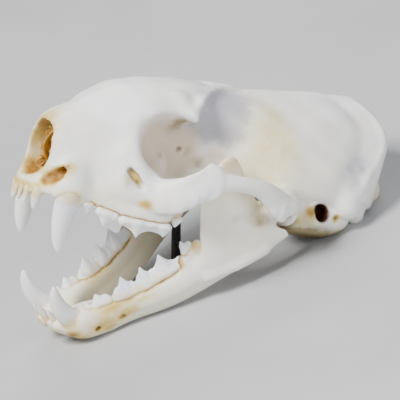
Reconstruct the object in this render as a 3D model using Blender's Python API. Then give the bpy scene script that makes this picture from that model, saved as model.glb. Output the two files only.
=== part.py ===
"""A polecat's skull with its jaws held open, life size, at rest on a level floor.

The cranium leans back on its occipital condyles and ear bullae, the lower jaw lies on its
lower border, and a short rod props the rear of the palate.

Lengths are millimetres until the last step, which scales the solids to metres. X runs to the
animal's left, Y to its back and Z up. The cranium is drawn in a frame of its own, with its
zero at the front edge of the upper jaw on the line of the cheek teeth, and each half of the
lower jaw in another, with its zero at the front edge of the lower jaw. Both frames are then
turned about the jaw joint.
"""

import math

import bmesh
import bpy
import numpy as np
from mathutils import Matrix, Vector

MM = 0.001
GAP = 0.3

# The pose
CRANIUM_PITCH = math.radians(29.9)
LOWER_JAW_PITCH = math.radians(-4.9)
CRANIUM_HINGE = (42.5, 2.5)
LOWER_JAW_HINGE = (41.0, 1.5)
HINGE_Y = 5.25
HINGE_Z = 10.25

# The cranium, from nose to nape. Each row is one cross section of its left half:
# y, top, then half width and height of roof, waist, cheek and floor, and last the bottom
CRANIUM_SECTIONS = (
    (-1.0, 11.2, 3.0, 10.1, 4.3, 7.4, 4.5, 3.6, 4.4, 1.0, 0.2),
    (2.4, 11.9, 3.1, 10.7, 4.4, 7.7, 4.8, 3.7, 4.8, 1.0, 0.2),
    (3.9, 12.8, 3.4, 11.5, 4.6, 8.1, 5.4, 3.8, 5.6, 1.0, 0.3),
    (5.5, 13.9, 3.7, 12.4, 5.0, 8.7, 6.3, 4.2, 6.5, 1.0, 0.3),
    (7.5, 14.9, 4.0, 13.2, 5.5, 9.4, 6.9, 4.6, 7.0, 1.0, 0.4),
    (10.0, 16.4, 4.8, 14.6, 6.4, 10.4, 7.5, 5.0, 7.4, 0.9, 0.5),
    (13.0, 18.4, 6.0, 16.2, 7.6, 11.4, 9.3, 5.2, 8.6, 0.7, 0.6),
    (16.0, 19.6, 7.6, 16.9, 9.2, 12.0, 11.9, 5.4, 10.0, 0.3, 0.7),
    (19.0, 20.3, 8.8, 17.0, 8.0, 12.2, 12.6, 4.6, 11.2, 0.2, 0.8),
    (22.5, 20.8, 9.0, 17.0, 6.0, 12.0, 11.2, 4.2, 11.0, 0.4, 0.8),
    (25.5, 21.0, 8.7, 17.3, 5.5, 11.8, 7.4, 5.0, 8.4, 1.2, 0.9),
    (28.5, 20.9, 7.6, 17.6, 5.6, 12.2, 5.4, 6.4, 5.2, 2.2, 1.0),
    (32.0, 20.6, 6.5, 17.9, 6.4, 13.0, 5.7, 7.4, 4.8, 3.4, 1.8),
    (36.0, 20.0, 7.4, 17.6, 9.0, 12.6, 8.4, 7.6, 5.2, 4.5, 3.3),
    (40.0, 19.8, 8.8, 17.3, 11.6, 12.2, 11.4, 7.2, 6.8, 4.2, 3.6),
    (44.0, 19.8, 9.6, 17.1, 13.0, 12.0, 13.7, 6.4, 9.5, 3.6, 3.5),
    (48.0, 20.0, 10.0, 17.0, 13.6, 11.6, 14.5, 6.0, 11.4, 3.2, 3.4),
    (52.0, 20.2, 10.1, 17.0, 13.8, 11.4, 14.7, 5.8, 12.0, 3.0, 3.3),
    (57.0, 20.2, 9.8, 16.8, 13.5, 11.2, 14.7, 5.8, 12.0, 3.0, 3.1),
    (61.0, 19.9, 9.3, 16.4, 13.0, 11.0, 14.2, 6.0, 10.8, 3.2, 3.0),
    (65.0, 19.3, 8.8, 16.0, 12.5, 10.7, 13.4, 6.0, 9.4, 3.3, 3.0),
    (70.0, 18.2, 8.2, 15.2, 11.9, 10.2, 12.6, 5.8, 8.6, 3.3, 3.0),
)
# The front edge of the nose: heights and how far back it is there on the midline, and how it
# sweeps back to the sides
NOSE_EDGE = (
    (-1.0, 0.5),
    (1.2, 0.4),
    (2.4, 0.6),
    (3.4, 0.9),
    (5.0, 1.1),
    (8.0, 1.2),
    (10.5, 1.8),
    (12.6, 3.2),
    (14.5, 5.4),
)
NOSE_SWEEP = 0.085
# The occiput: how far back its middle is at the crown's height, how it sweeps forward to
# the sides and how it leans in below the crown
NAPE_BACK = 68.0
NAPE_SWEEP = 9.5
NAPE_REACH = 16.0
NAPE_LEAN = 0.11
CROWN_HEIGHT = 18.0
# The hollows of the face: centre and radii of the orbit's bowl and of its deeper inner
# wall, and the slanting slit in front of it, as a path with its radii across and upright
ORBIT_CENTRE = (13.3, 21.9, 12.8)
ORBIT_RADII = (5.8, 7.2, 6.0)
ORBIT_WALL_CENTRE = (10.6, 22.6, 11.4)
ORBIT_WALL_RADII = (4.2, 5.6, 4.8)
CHEEK_FORAMEN = ((9.6, 14.3, 7.2), (10.9, 16.1, 5.4), (11.8, 18.0, 3.7))
CHEEK_FORAMEN_RADII = (0.9, 0.65)
NOSE_OPENING = ((0, -2.0, 6.6), (0, 2.4, 7.2), (0, 4.5, 7.6), (0, 7.6, 8.4))
NOSE_OPENING_ACROSS = (3.4, 3.4, 3.4, 2.7)
NOSE_OPENING_UPRIGHT = (4.1, 4.3, 4.2, 3.3)
CANINE_ROOT_CENTRE = (5.2, 8.2, 3.6)
CANINE_ROOT_RADII = (2.1, 2.9, 4.6)
CANINE_ROOT_TIP = 0.28
FACE_START = -1.0
FACE_END = 32.0
SECTION_STEPS = 3
SECTION_SPACING = 2.0

# The cheekbone as a bar: y, centre x, centre z, half height, half thickness
CHEEKBONE_LINE = (
    (18.2, 9.6, 3.4, 3.2, 1.8),
    (20.6, 13.2, 3.3, 3.0, 1.4),
    (22.6, 15.5, 4.3, 3.0, 1.1),
    (24.3, 16.7, 5.9, 2.8, 0.95),
    (25.9, 17.4, 7.2, 3.6, 0.8),
    (27.6, 17.8, 7.5, 2.3, 0.85),
    (30.5, 18.2, 7.5, 1.5, 0.9),
    (34.0, 18.4, 7.3, 1.4, 0.95),
    (37.0, 18.3, 6.6, 1.7, 1.0),
    (39.4, 18.0, 5.3, 2.1, 1.0),
    (41.6, 17.4, 3.9, 2.4, 1.0),
    (43.2, 16.2, 3.3, 2.3, 1.3),
    (44.7, 12.5, 3.8, 2.2, 1.6),
)
CHEEKBONE_FRONT = 21.9
CHEEKBONE_BACK = 40.2

# The rim that carries the upper cheek teeth: y, centre x, centre z, radius
UPPER_RIM = (
    (5.5, 6.2, 1.6, 1.6),
    (9.3, 6.7, 1.3, 1.2),
    (13.0, 7.8, 0.8, 1.3),
    (16.5, 9.5, 0.1, 1.4),
    (20.0, 10.9, -0.1, 1.4),
    (23.4, 11.2, 0.1, 1.5),
    (25.6, 9.8, 0.9, 1.5),
)

# The thin plates behind the palate: y, centre x, top, bottom, half thickness
PTERYGOID = (
    (28.5, 3.1, 3.4, 0.9, 0.6),
    (33.0, 3.3, 5.0, 0.4, 0.5),
    (38.0, 3.7, 5.4, 0.3, 0.45),
    (41.0, 4.1, 5.0, -0.5, 0.4),
    (43.4, 4.4, 1.2, -1.5, 0.35),
)

# The ridge along the crown, where the jaw muscles of both sides meet: y, z, half width
SAGITTAL_CREST = (
    (36.0, 19.5, 0.7),
    (44.0, 19.6, 0.7),
    (56.0, 20.0, 0.8),
    (63.0, 19.3, 0.9),
    (66.6, 18.3, 1.0),
)

# The ear bulla: centre, radii and its turn about Z, and the short tube of the ear hole
BULLA_CENTRE = (9.4, 51.7, 1.5)
BULLA_RADII = (4.9, 7.7, 4.1)
BULLA_TURN = math.radians(-11.0)
EAR_TUBE_CENTRE = (12.0, 50.8, 2.0)
EAR_TUBE_RADII = (3.8, 2.7, 2.3)
EAR_HOLE = (15.1, 50.9, 2.6)
EAR_HOLE_RADII = (1.15, 1.2)

CONDYLE_CENTRE = (5.4, 65.0, 6.2)
CONDYLE_RADII = (2.5, 2.2, 2.8)
FORAMEN_CENTRE = (0.0, 65.9, 8.4)
FORAMEN_RADII = (4.3, 3.9, 3.2)

# The socket that the jaw joint turns in, from its inner to its outer end, the bone above and
# behind it, and the joint's own bar with its neck
SOCKET_REACH = (7.4, 17.0)
SOCKET_RADIUS = 2.05
SOCKET_ROOF = ((13.0, 43.4, 4.2), (5.2, 3.2, 2.3))
SOCKET_LIP = ((12.6, 45.2, 2.2), (3.9, 0.95, 2.4))
JOINT_CENTRE_X = 12.6
JOINT_RADII = (4.0, 1.7, 1.6)
NECK = ((13.2, 38.8, 0.7), (1.7, 2.7, 1.7))

# Rounded forms at the rear: behind the ear, under the brain, and beside the nape
MASTOID = ((12.9, 56.4, 4.0), (2.2, 2.4, 2.4))
SKULL_BASE = ((0.0, 56.0, 3.8), (5.2, 9.5, 1.8))
BESIDE_NAPE = ((10.6, 60.2, 3.2), (1.9, 1.6, 3.2))

# The hollow where the chewing muscle holds, and the two small holes in the chin
MUSCLE_HOLLOW = ((15.4, 33.4, 5.6), (2.3, 4.4, 7.4))
MUSCLE_HOLLOW_TURN = -0.28
CHIN_HOLES = ((6.3, 6.4, -3.4), (7.5, 11.0, -3.6))
CHIN_HOLE_RADII = (0.9, 0.45, 0.4)

# One half of the lower jaw: y, centre x, half thickness, top, bottom
LOWER_JAW_SECTIONS = (
    (0.3, 1.7, 1.5, 0.0, -1.9),
    (1.6, 2.5, 2.4, 0.2, -3.0),
    (4.0, 3.2, 3.1, 0.4, -4.8),
    (6.6, 3.6, 3.2, 0.3, -5.8),
    (8.8, 4.6, 2.5, 0.1, -6.0),
    (11.0, 5.6, 2.0, -0.2, -6.0),
    (14.0, 6.7, 1.8, -0.6, -6.2),
    (17.5, 8.0, 1.8, -0.7, -6.35),
    (21.0, 9.2, 1.8, -0.4, -6.25),
    (24.5, 10.4, 1.8, 0.6, -6.2),
    (28.0, 11.5, 1.7, 2.0, -6.1),
    (32.0, 12.6, 1.5, 2.0, -5.8),
    (36.0, 13.6, 1.3, 1.6, -4.9),
    (39.2, 14.3, 1.0, -0.2, -3.75),
    (41.1, 14.8, 0.6, -2.1, -3.2),
)
# The coronoid blade of the same half: z, front y, back y, centre x, half thickness
CORONOID = (
    (-3.0, 27.0, 39.4, 12.8, 1.0),
    (0.0, 26.2, 40.0, 12.7, 1.1),
    (3.1, 26.9, 39.4, 12.6, 1.0),
    (6.5, 28.1, 38.9, 12.7, 0.85),
    (9.6, 29.6, 38.8, 12.8, 0.75),
    (12.0, 31.9, 38.7, 13.0, 0.65),
    (13.6, 33.9, 38.3, 13.2, 0.55),
    (14.5, 35.6, 37.6, 13.3, 0.35),
)

# The prop: a round rod from the floor to just under the palate's rear
ROD_RADIUS = 0.8
ROD_TOP = (0.0, 31.5, 0.3)
ROD_LEAN = math.radians(19.0)

# Upper teeth of one side. A pointed tooth: base, tip, radius along the jaw, radius across,
# depth of its root, bow of its axis along Y
UPPER_POINTS = (
    ((0.75, 1.2, 0.9), (0.8, 0.6, -1.5), 0.65, 0.5, 1.2, 0.0),
    ((2.0, 1.5, 0.9), (2.15, 1.0, -1.9), 0.7, 0.6, 1.2, 0.0),
    ((3.5, 2.6, 0.9), (3.75, 2.2, -2.8), 0.95, 0.8, 1.4, -0.1),
    ((6.5, 7.0, 1.2), (6.7, 6.7, -8.9), 2.05, 1.5, 2.4, -0.7),
)
# A bladed tooth: front end and back end of its base, width, root depth, and its cusps as
# pairs of place along it and height
UPPER_BLADES = (
    ((7.3, 9.2, 0.3), (7.7, 11.2, 0.0), 1.3, 1.4, ((0.0, 0.3), (0.45, 1.8), (1.0, 0.3))),
    ((7.9, 11.5, -0.1), (9.2, 15.3, -0.5), 1.7, 1.6, ((0.0, 0.4), (0.44, 3.0), (0.85, 1.1), (1.0, 0.5))),
    (
        (9.8, 15.5, -0.7),
        (12.3, 23.7, -1.1),
        2.1,
        1.8,
        ((0.0, 0.8), (0.34, 3.3), (0.62, 2.1), (0.9, 2.4), (1.0, 1.4)),
    ),
    (
        (12.6, 24.4, -0.5),
        (7.4, 26.0, 0.0),
        2.4,
        1.5,
        ((0.0, 0.9), (0.14, 1.3), (0.5, 0.8), (0.8, 1.2), (1.0, 0.6)),
    ),
)
INNER_CUSP = ((8.6, 17.0, 0.8), (8.3, 16.8, -1.9), 1.2, 1.1, 1.2, 0.0)

LOWER_POINTS = (
    ((0.55, 0.9, -0.4), (0.6, 0.2, 1.9), 0.55, 0.4, 1.0, 0.0),
    ((1.4, 1.5, -0.4), (1.5, 0.9, 2.0), 0.65, 0.5, 1.0, 0.0),
    ((2.5, 1.2, -0.3), (2.7, 0.6, 2.4), 0.7, 0.55, 1.0, 0.0),
    ((4.5, 3.6, -0.5), (5.5, 2.4, 7.1), 1.8, 1.4, 2.4, -1.0),
)
LOWER_BLADES = (
    ((4.9, 5.7, 0.0), (5.2, 7.4, 0.0), 1.2, 1.4, ((0.0, 0.3), (0.5, 1.5), (1.0, 0.3))),
    ((5.3, 7.5, 0.0), (6.1, 10.9, -0.3), 1.6, 1.6, ((0.0, 0.4), (0.4, 2.5), (1.0, 0.5))),
    ((6.1, 11.0, -0.4), (7.3, 15.5, -0.7), 1.8, 1.7, ((0.0, 0.5), (0.56, 3.6), (0.86, 1.5), (1.0, 0.7))),
    (
        (7.3, 15.6, -0.7),
        (9.9, 23.8, -0.4),
        2.2,
        1.9,
        ((0.0, 1.6), (0.15, 3.6), (0.34, 2.2), (0.58, 4.2), (0.76, 2.0), (0.93, 1.9), (1.0, 1.0)),
    ),
    ((10.1, 24.3, 1.0), (10.7, 26.3, 1.8), 1.7, 1.6, ((0.0, 0.8), (0.5, 2.3), (1.0, 0.8))),
)

BONE = (0.80, 0.77, 0.68, 1.0)
PALE_BONE = (0.84, 0.82, 0.75, 1.0)
JAW_BONE = (0.78, 0.74, 0.64, 1.0)
DARK_STEEL = (0.06, 0.06, 0.065, 1.0)


def clear_scene():
    for obj in list(bpy.data.objects):
        bpy.data.objects.remove(obj, do_unlink=True)


def collection(name):
    made = bpy.data.collections.new(name)
    bpy.context.scene.collection.children.link(made)
    return made


def smooth(keys, values, at):
    """Values at any place along the keys: cubics whose slope at a key is its parabola's."""
    keys = np.asarray(keys, float)
    values = np.asarray(values, float)
    slope = np.gradient(values, keys, axis=0)
    at = np.clip(np.asarray(at, float), keys[0], keys[-1])
    left = np.clip(np.searchsorted(keys, at, side="right") - 1, 0, len(keys) - 2)
    width = (keys[left + 1] - keys[left])[:, None]
    t = ((at - keys[left]) / (keys[left + 1] - keys[left]))[:, None]
    return (
        (1 + 2 * t) * (1 - t) ** 2 * values[left]
        + t * (1 - t) ** 2 * width * slope[left]
        + t * t * (3 - 2 * t) * values[left + 1]
        + t * t * (t - 1) * width * slope[left + 1]
    )


def table(rows, at):
    """The columns of a table, read smoothly at places along its first column."""
    rows = np.asarray(rows, float)
    return smooth(rows[:, 0], rows[:, 1:], at).T


def spread(start, end, spacing):
    """Evenly spaced places from start to end."""
    return np.linspace(start, end, max(2, int(round((end - start) / spacing)) + 1))


def closed_curve(corners, steps):
    """A smooth closed curve through the corners, with equal steps between each two of them."""
    corners = np.asarray(corners, float)
    chord = np.linalg.norm(np.roll(corners, -1, axis=0) - corners, axis=1) ** 0.5
    wrapped = np.concatenate([corners[-3:], corners, corners[:4]])
    lengths = np.concatenate([chord[-3:], chord, chord[:3]])
    keys = np.concatenate([[0.0], np.cumsum(lengths)])
    first = keys[3 : 3 + len(corners)]
    places = (first[:, None] + chord[:, None] * np.arange(steps) / steps).ravel()
    return smooth(keys, wrapped, places)


def skin(name, rings, group):
    """A closed solid over a stack of rings, each end closed by a fan round its middle."""
    rings = np.asarray(rings, float)
    count, around = rings.shape[:2]
    points = np.vstack([rings.reshape(-1, 3), rings[0].mean(axis=0), rings[-1].mean(axis=0)])
    ring = np.arange(count - 1)[:, None] * around
    step = np.arange(around)[None, :]
    a = ring + step
    b = ring + (step + 1) % around
    sides = np.stack([a, b, b + around, a, b + around, a + around], axis=-1).reshape(-1, 3)
    turn = np.arange(around)
    following = (turn + 1) % around
    last = (count - 1) * around
    start_fan = np.stack([following, turn, np.full(around, count * around)], axis=-1)
    end_fan = np.stack([last + turn, last + following, np.full(around, count * around + 1)], axis=-1)
    faces = np.vstack([sides, start_fan, end_fan])
    corners = points[faces]
    if np.linalg.det(corners).sum() < 0:
        faces = faces[:, ::-1]
    mesh = bpy.data.meshes.new(name)
    mesh.from_pydata(points.tolist(), [], faces.tolist())
    obj = bpy.data.objects.new(name, mesh)
    group.objects.link(obj)
    return obj


def sided(points, side):
    """Points of the left half, or their mirror image for the right."""
    return np.asarray(points, float) * (side, 1.0, 1.0)


def blob(name, centre, radii, group, side=1, turn=0.0, tip=0.0, detail=(12, 8)):
    """An ellipsoid, turned about Z and tipped about X."""
    mesh = bpy.data.meshes.new(name)
    form = bmesh.new()
    bmesh.ops.create_uvsphere(form, u_segments=detail[0], v_segments=detail[1], radius=1.0)
    bmesh.ops.triangulate(form, faces=form.faces)
    place = (
        Matrix.Translation((centre[0] * side, centre[1], centre[2]))
        @ Matrix.Rotation(turn * side, 4, "Z")
        @ Matrix.Rotation(tip, 4, "X")
        @ Matrix.Diagonal((*radii, 1.0))
    )
    form.transform(place)
    form.to_mesh(mesh)
    form.free()
    obj = bpy.data.objects.new(name, mesh)
    group.objects.link(obj)
    return obj


def tube(name, path, across, upright, up, group, sides=10, ahead=None):
    """A bar along a path. Its section is an oval with radii across and upright, set square
    to the path, with its upright axis near the direction up."""
    path = np.asarray(path, float)
    if ahead is None:
        ahead = np.gradient(path, axis=0)
    ahead /= np.linalg.norm(ahead, axis=1, keepdims=True)
    level = np.cross(ahead, up)
    level /= np.linalg.norm(level, axis=1, keepdims=True)
    vertical = np.cross(level, ahead)
    angle = 2 * np.pi * np.arange(sides) / sides
    across = np.broadcast_to(across, len(path))[:, None, None]
    upright = np.broadcast_to(upright, len(path))[:, None, None]
    rings = (
        path[:, None, :]
        + across * np.cos(angle)[None, :, None] * level[:, None, :]
        + upright * np.sin(angle)[None, :, None] * vertical[:, None, :]
    )
    return skin(name, rings, group)


def cranium_rings(start, end):
    """Cross sections of the cranium: each a smooth curve over roof, waist, cheek and floor."""
    rings = []
    places = spread(start, end, SECTION_SPACING)
    for y, row in zip(places, table(CRANIUM_SECTIONS, places).T):
        half = row[1:-1].reshape(-1, 2)
        other = half[::-1] * (-1.0, 1.0)
        flat = closed_curve(((0.0, row[0]), *half, (0.0, row[-1]), *other), SECTION_STEPS)
        rings.append(np.column_stack([flat[:, 0], np.full(len(flat), y), flat[:, 1]]))
    return np.array(rings)


def cheekbone_bar(name, start, end, group, side):
    """A length of the cheekbone. Its ends are square to the line there, so that two lengths
    that meet are parallel where they face each other."""
    places = spread(start, end, 1.6)
    x, z, height, thick = table(CHEEKBONE_LINE, places)
    path = sided(np.column_stack([x, places, z]), side)
    step = 0.05
    after = table(CHEEKBONE_LINE, places + step)
    before = table(CHEEKBONE_LINE, places - step)
    forward = np.full(len(places), 2 * step)
    ahead = sided(np.column_stack([after[0] - before[0], forward, after[1] - before[1]]), side)
    return tube(name, path, thick, height, (0.0, 0.0, 1.0), group, 12, ahead)


def upper_rim(group, side):
    places = spread(UPPER_RIM[0][0], UPPER_RIM[-1][0], 2.2)
    x, z, radius = table(UPPER_RIM, places)
    path = sided(np.column_stack([x, places, z]), side)
    return tube("upper_rim", path, radius, radius, (0.0, 0.0, 1.0), group, 10)


def pterygoid_plate(start, end, group, side):
    places = spread(start, end, 2.5)
    x, top, bottom, thick = table(PTERYGOID, places)
    path = sided(np.column_stack([x, places, (top + bottom) / 2]), side)
    return tube("pterygoid", path, thick, (top - bottom) / 2, (0.0, 0.0, 1.0), group, 8)


def nose_cutter(group):
    """All that lies before the nose. Its rear is the slanting front edge of the nasal bones
    and the upper jaw, which sweeps back with the square of the distance from the middle."""
    x = np.linspace(-9.0, 9.0, 13)
    front = np.full(2, -20.0)
    rings = []
    for z, edge in NOSE_EDGE:
        across = np.concatenate([x, (x[-1], x[0])])
        back = np.concatenate([edge + NOSE_SWEEP * x**2, front])
        rings.append(np.column_stack([across, back, np.full(len(across), z)]))
    return skin("nose_cutter", rings, group)


def nape_cutter(group):
    """All that lies behind the occiput. Its front is the occiput's own face: it sweeps
    forward with the cube of the distance from the middle, and leans in below the crown."""
    x = np.linspace(-1.25, 1.25, 17) * NAPE_REACH
    height = np.linspace(-6.0, 24.0, 6)
    back = NAPE_BACK - NAPE_SWEEP * np.abs(x / NAPE_REACH)[None, :] ** 3
    back = back - NAPE_LEAN * (CROWN_HEIGHT - height)[:, None]
    front = np.stack([np.tile(x, (6, 1)), back, np.repeat(height[:, None], 17, axis=1)], axis=-1)
    rear = np.array([[(x[-1], 90.0, z), (x[0], 90.0, z)] for z in height])
    return skin("nape_cutter", np.concatenate([front, rear], axis=1), group)


def pointed_tooth(name, spec, group, side, sides=6, rings=3):
    """A canine, incisor or cusp: oval rings along a bowed axis, from its root to its point."""
    base, tip, long_radius, cross_radius, root, bow = spec
    base = Vector(base)
    tip = Vector(tip)
    length = (tip - base).length
    t = np.linspace(-root / length, 1.0, rings + 2)
    rise = np.clip(t, 0.0, 1.0)
    path = np.array(base)[None, :] + t[:, None] * np.array(tip - base)[None, :]
    path[:, 1] += bow * 4 * rise * (1 - rise)
    taper = np.clip(1 - rise**1.7, 0.0, 1.0) ** 0.8 + 0.07
    across = cross_radius * taper
    along = long_radius * taper
    return tube(name, sided(path, side), across, along, (0.0, 1.0, 0.0), group, sides)


def bladed_tooth(name, spec, down, group, side, stations=4):
    """A cheek tooth: upright sections along its base, each a pointed arch as tall as the
    cusps there, with its root below."""
    front, back, width, root, cusps = spec
    cusps = np.asarray(cusps, float)
    s = np.unique(np.concatenate([np.linspace(0.0, 1.0, stations), cusps[:, 0]]))
    height = np.interp(s, cusps[:, 0], cusps[:, 1])
    swell = 0.45 + 0.55 * np.sqrt(np.clip(1 - (2 * s - 1) ** 2, 0.0, 1.0))
    base = np.array(front)[None, :] + s[:, None] * (np.array(back) - np.array(front))[None, :]
    along = np.array(back) - np.array(front)
    across = np.array((along[1], -along[0], 0.0)) / np.hypot(along[0], along[1])
    outward = np.array((-1.0, -0.95, -0.55, 0.0, 0.55, 0.95, 1.0))
    upward = np.array((0.0, 0.0, 0.55, 1.0, 0.55, 0.0, 0.0))
    sunk = np.array((1.0, 0.0, 0.0, 0.0, 0.0, 0.0, 1.0))
    rise = upward[None, :] * height[:, None] - sunk[None, :] * root
    rings = (
        base[:, None, :]
        + (outward[None, :] * swell[:, None] * width / 2)[:, :, None] * across
        + rise[:, :, None] * np.array((0.0, 0.0, -1.0 if down else 1.0))
    )
    return skin(name, sided(rings, side), group)


def evaluated_mesh(obj):
    graph = bpy.context.evaluated_depsgraph_get()
    return bpy.data.meshes.new_from_object(obj.evaluated_get(graph))


def keep_largest(mesh):
    """Leaves only the closed surface that holds the most."""
    form = bmesh.new()
    form.from_mesh(mesh)
    bmesh.ops.triangulate(form, faces=form.faces)
    bmesh.ops.remove_doubles(form, verts=form.verts, dist=0.0005)
    left = set(form.faces)
    shells = []
    while left:
        shell = {left.pop()}
        edge = list(shell)
        while edge:
            face = edge.pop()
            for loop in face.edges:
                near = [other for other in loop.link_faces if other in left]
                left.difference_update(near)
                shell.update(near)
                edge.extend(near)
        volume = sum(f.verts[0].co.dot(f.verts[1].co.cross(f.verts[2].co)) for f in shell)
        shells.append((volume, shell))
    best = max(shells, key=lambda item: item[0])[1]
    bmesh.ops.delete(form, geom=[face for face in form.faces if face not in best], context="FACES")
    form.to_mesh(mesh)
    form.free()


def boolean(obj, operation, group):
    """Joins or cuts an object with all that a collection holds, and applies it."""
    modifier = obj.modifiers.new(operation.lower(), "BOOLEAN")
    modifier.operation = operation
    modifier.operand_type = "COLLECTION"
    modifier.collection = group
    modifier.solver = "EXACT"
    mesh = evaluated_mesh(obj)
    obj.modifiers.clear()
    old = obj.data
    obj.data = mesh
    bpy.data.meshes.remove(old)
    keep_largest(obj.data)


def discard(group):
    for obj in list(group.objects):
        bpy.data.objects.remove(obj, do_unlink=True)
    bpy.data.collections.remove(group)


def fuse(name, core, group, home):
    """One closed body from a core and the pieces in a collection, which are then removed."""
    group.objects.unlink(core)
    home.objects.link(core)
    core.name = name
    boolean(core, "UNION", group)
    discard(group)
    return core


def hide_cutters(group):
    for obj in group.objects:
        obj.hide_render = True
        obj.display_type = "WIRE"


def upper_teeth(group, side):
    for spec in UPPER_POINTS:
        large = spec[4] > 2.0
        pointed_tooth("upper_point", spec, group, side, 10 if large else 6, 7 if large else 3)
    pointed_tooth("inner_cusp", INNER_CUSP, group, side)
    for spec in UPPER_BLADES:
        bladed_tooth("upper_blade", spec, True, group, side)


def lower_teeth(group, side):
    for spec in LOWER_POINTS:
        large = spec[4] > 2.0
        pointed_tooth("lower_point", spec, group, side, 10 if large else 6, 7 if large else 3)
    for spec in LOWER_BLADES:
        bladed_tooth("lower_blade", spec, False, group, side)


def nose_scrolls(group):
    """The partition of the nose and the scrolls of thin bone that fill it."""
    line = ((0, 4.6, 7.0), (0, 6.5, 7.6), (0, 9.5, 8.4))
    tube("partition", line, 0.3, (3.8, 4.3, 4.6), (0, 0, 1), group, 6)
    for side in (1, -1):
        for height in (6.0, 9.2):
            blob("scroll", (1.7, 6.4, height), (0.8, 2.6, 1.3), group, side, 0.0, -0.3, (7, 5))


def make_face(home, cutters):
    """The front of the cranium with the palate, the orbits and the upper teeth."""
    group = collection("face_pieces")
    core = skin("core", cranium_rings(FACE_START, FACE_END - GAP / 2), group)
    for side in (1, -1):
        upper_rim(group, side)
        cheekbone_bar("cheek_root", CHEEKBONE_LINE[0][0], CHEEKBONE_FRONT - GAP / 2, group, side)
        pterygoid_plate(PTERYGOID[0][0], FACE_END - GAP / 2, group, side)
        blob("canine_root", CANINE_ROOT_CENTRE, CANINE_ROOT_RADII, group, side, 0.0, CANINE_ROOT_TIP)
    face = fuse("face", core, group, home)
    cut = collection("nose_cut")
    nose_cutter(cut)
    boolean(face, "DIFFERENCE", cut)
    keep_as_cutters(cut, cutters)
    cut = collection("face_cuts")
    tube("nose_opening", NOSE_OPENING, NOSE_OPENING_ACROSS, NOSE_OPENING_UPRIGHT, (0, 0, 1), cut, 14)
    for side in (1, -1):
        tube("cheek_foramen", sided(CHEEK_FORAMEN, side), *CHEEK_FORAMEN_RADII, (0, 0, 1), cut, 8)
        blob("orbit_wall", ORBIT_WALL_CENTRE, ORBIT_WALL_RADII, cut, side, 0.0, 0.0, (12, 9))
        blob("orbit", ORBIT_CENTRE, ORBIT_RADII, cut, side, 0.0, 0.0, (16, 11))
    boolean(face, "DIFFERENCE", cut)
    keep_as_cutters(cut, cutters)
    group = collection("face_details")
    nose_scrolls(group)
    for side in (1, -1):
        upper_teeth(group, side)
        brow = sided(((6.4, 25.2, 18.0), (8.5, 25.8, 16.9), (9.9, 26.2, 15.7)), side)
        tube("brow_process", brow, (1.9, 1.3, 0.35), (1.2, 0.9, 0.35), (0, 0, 1), group, 8)
    boolean(face, "UNION", group)
    discard(group)
    return face


def keep_as_cutters(group, cutters):
    for obj in list(group.objects):
        cutters.objects.link(obj)
        group.objects.unlink(obj)
    bpy.data.collections.remove(group)


def bulla_forms(group, side, grow):
    """The ear bulla and its tube, or the same made larger all round to cut a seat for them."""
    radii = tuple(radius + grow for radius in BULLA_RADII)
    chamber = blob("bulla", BULLA_CENTRE, radii, group, side, BULLA_TURN, 0.0, (14, 9))
    radii = tuple(radius + grow for radius in EAR_TUBE_RADII)
    blob("ear_tube", EAR_TUBE_CENTRE, radii, group, side, 0.0, 0.0, (10, 7))
    return chamber


def box(name, low, high, group):
    mesh = bpy.data.meshes.new(name)
    form = bmesh.new()
    bmesh.ops.create_cube(form, size=1.0)
    size = Vector(high) - Vector(low)
    form.transform(Matrix.Translation((Vector(high) + Vector(low)) / 2) @ Matrix.Diagonal((*size, 1.0)))
    form.to_mesh(mesh)
    form.free()
    obj = bpy.data.objects.new(name, mesh)
    group.objects.link(obj)
    return obj


def make_bulla(side, home):
    word = "left" if side > 0 else "right"
    group = collection("bulla_pieces")
    chamber = bulla_forms(group, side, 0.0)
    bulla = fuse("ear_bulla_" + word, chamber, group, home)
    cut = collection("bulla_cuts")
    x, y, z = EAR_HOLE
    hole = sided(((x - 2.2, y, z - 0.1), (x + 2.0, y, z)), side)
    tube("ear_hole", hole, *EAR_HOLE_RADII, (0, 0, 1), cut, 10)
    boolean(bulla, "DIFFERENCE", cut)
    discard(cut)
    return bulla


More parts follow.
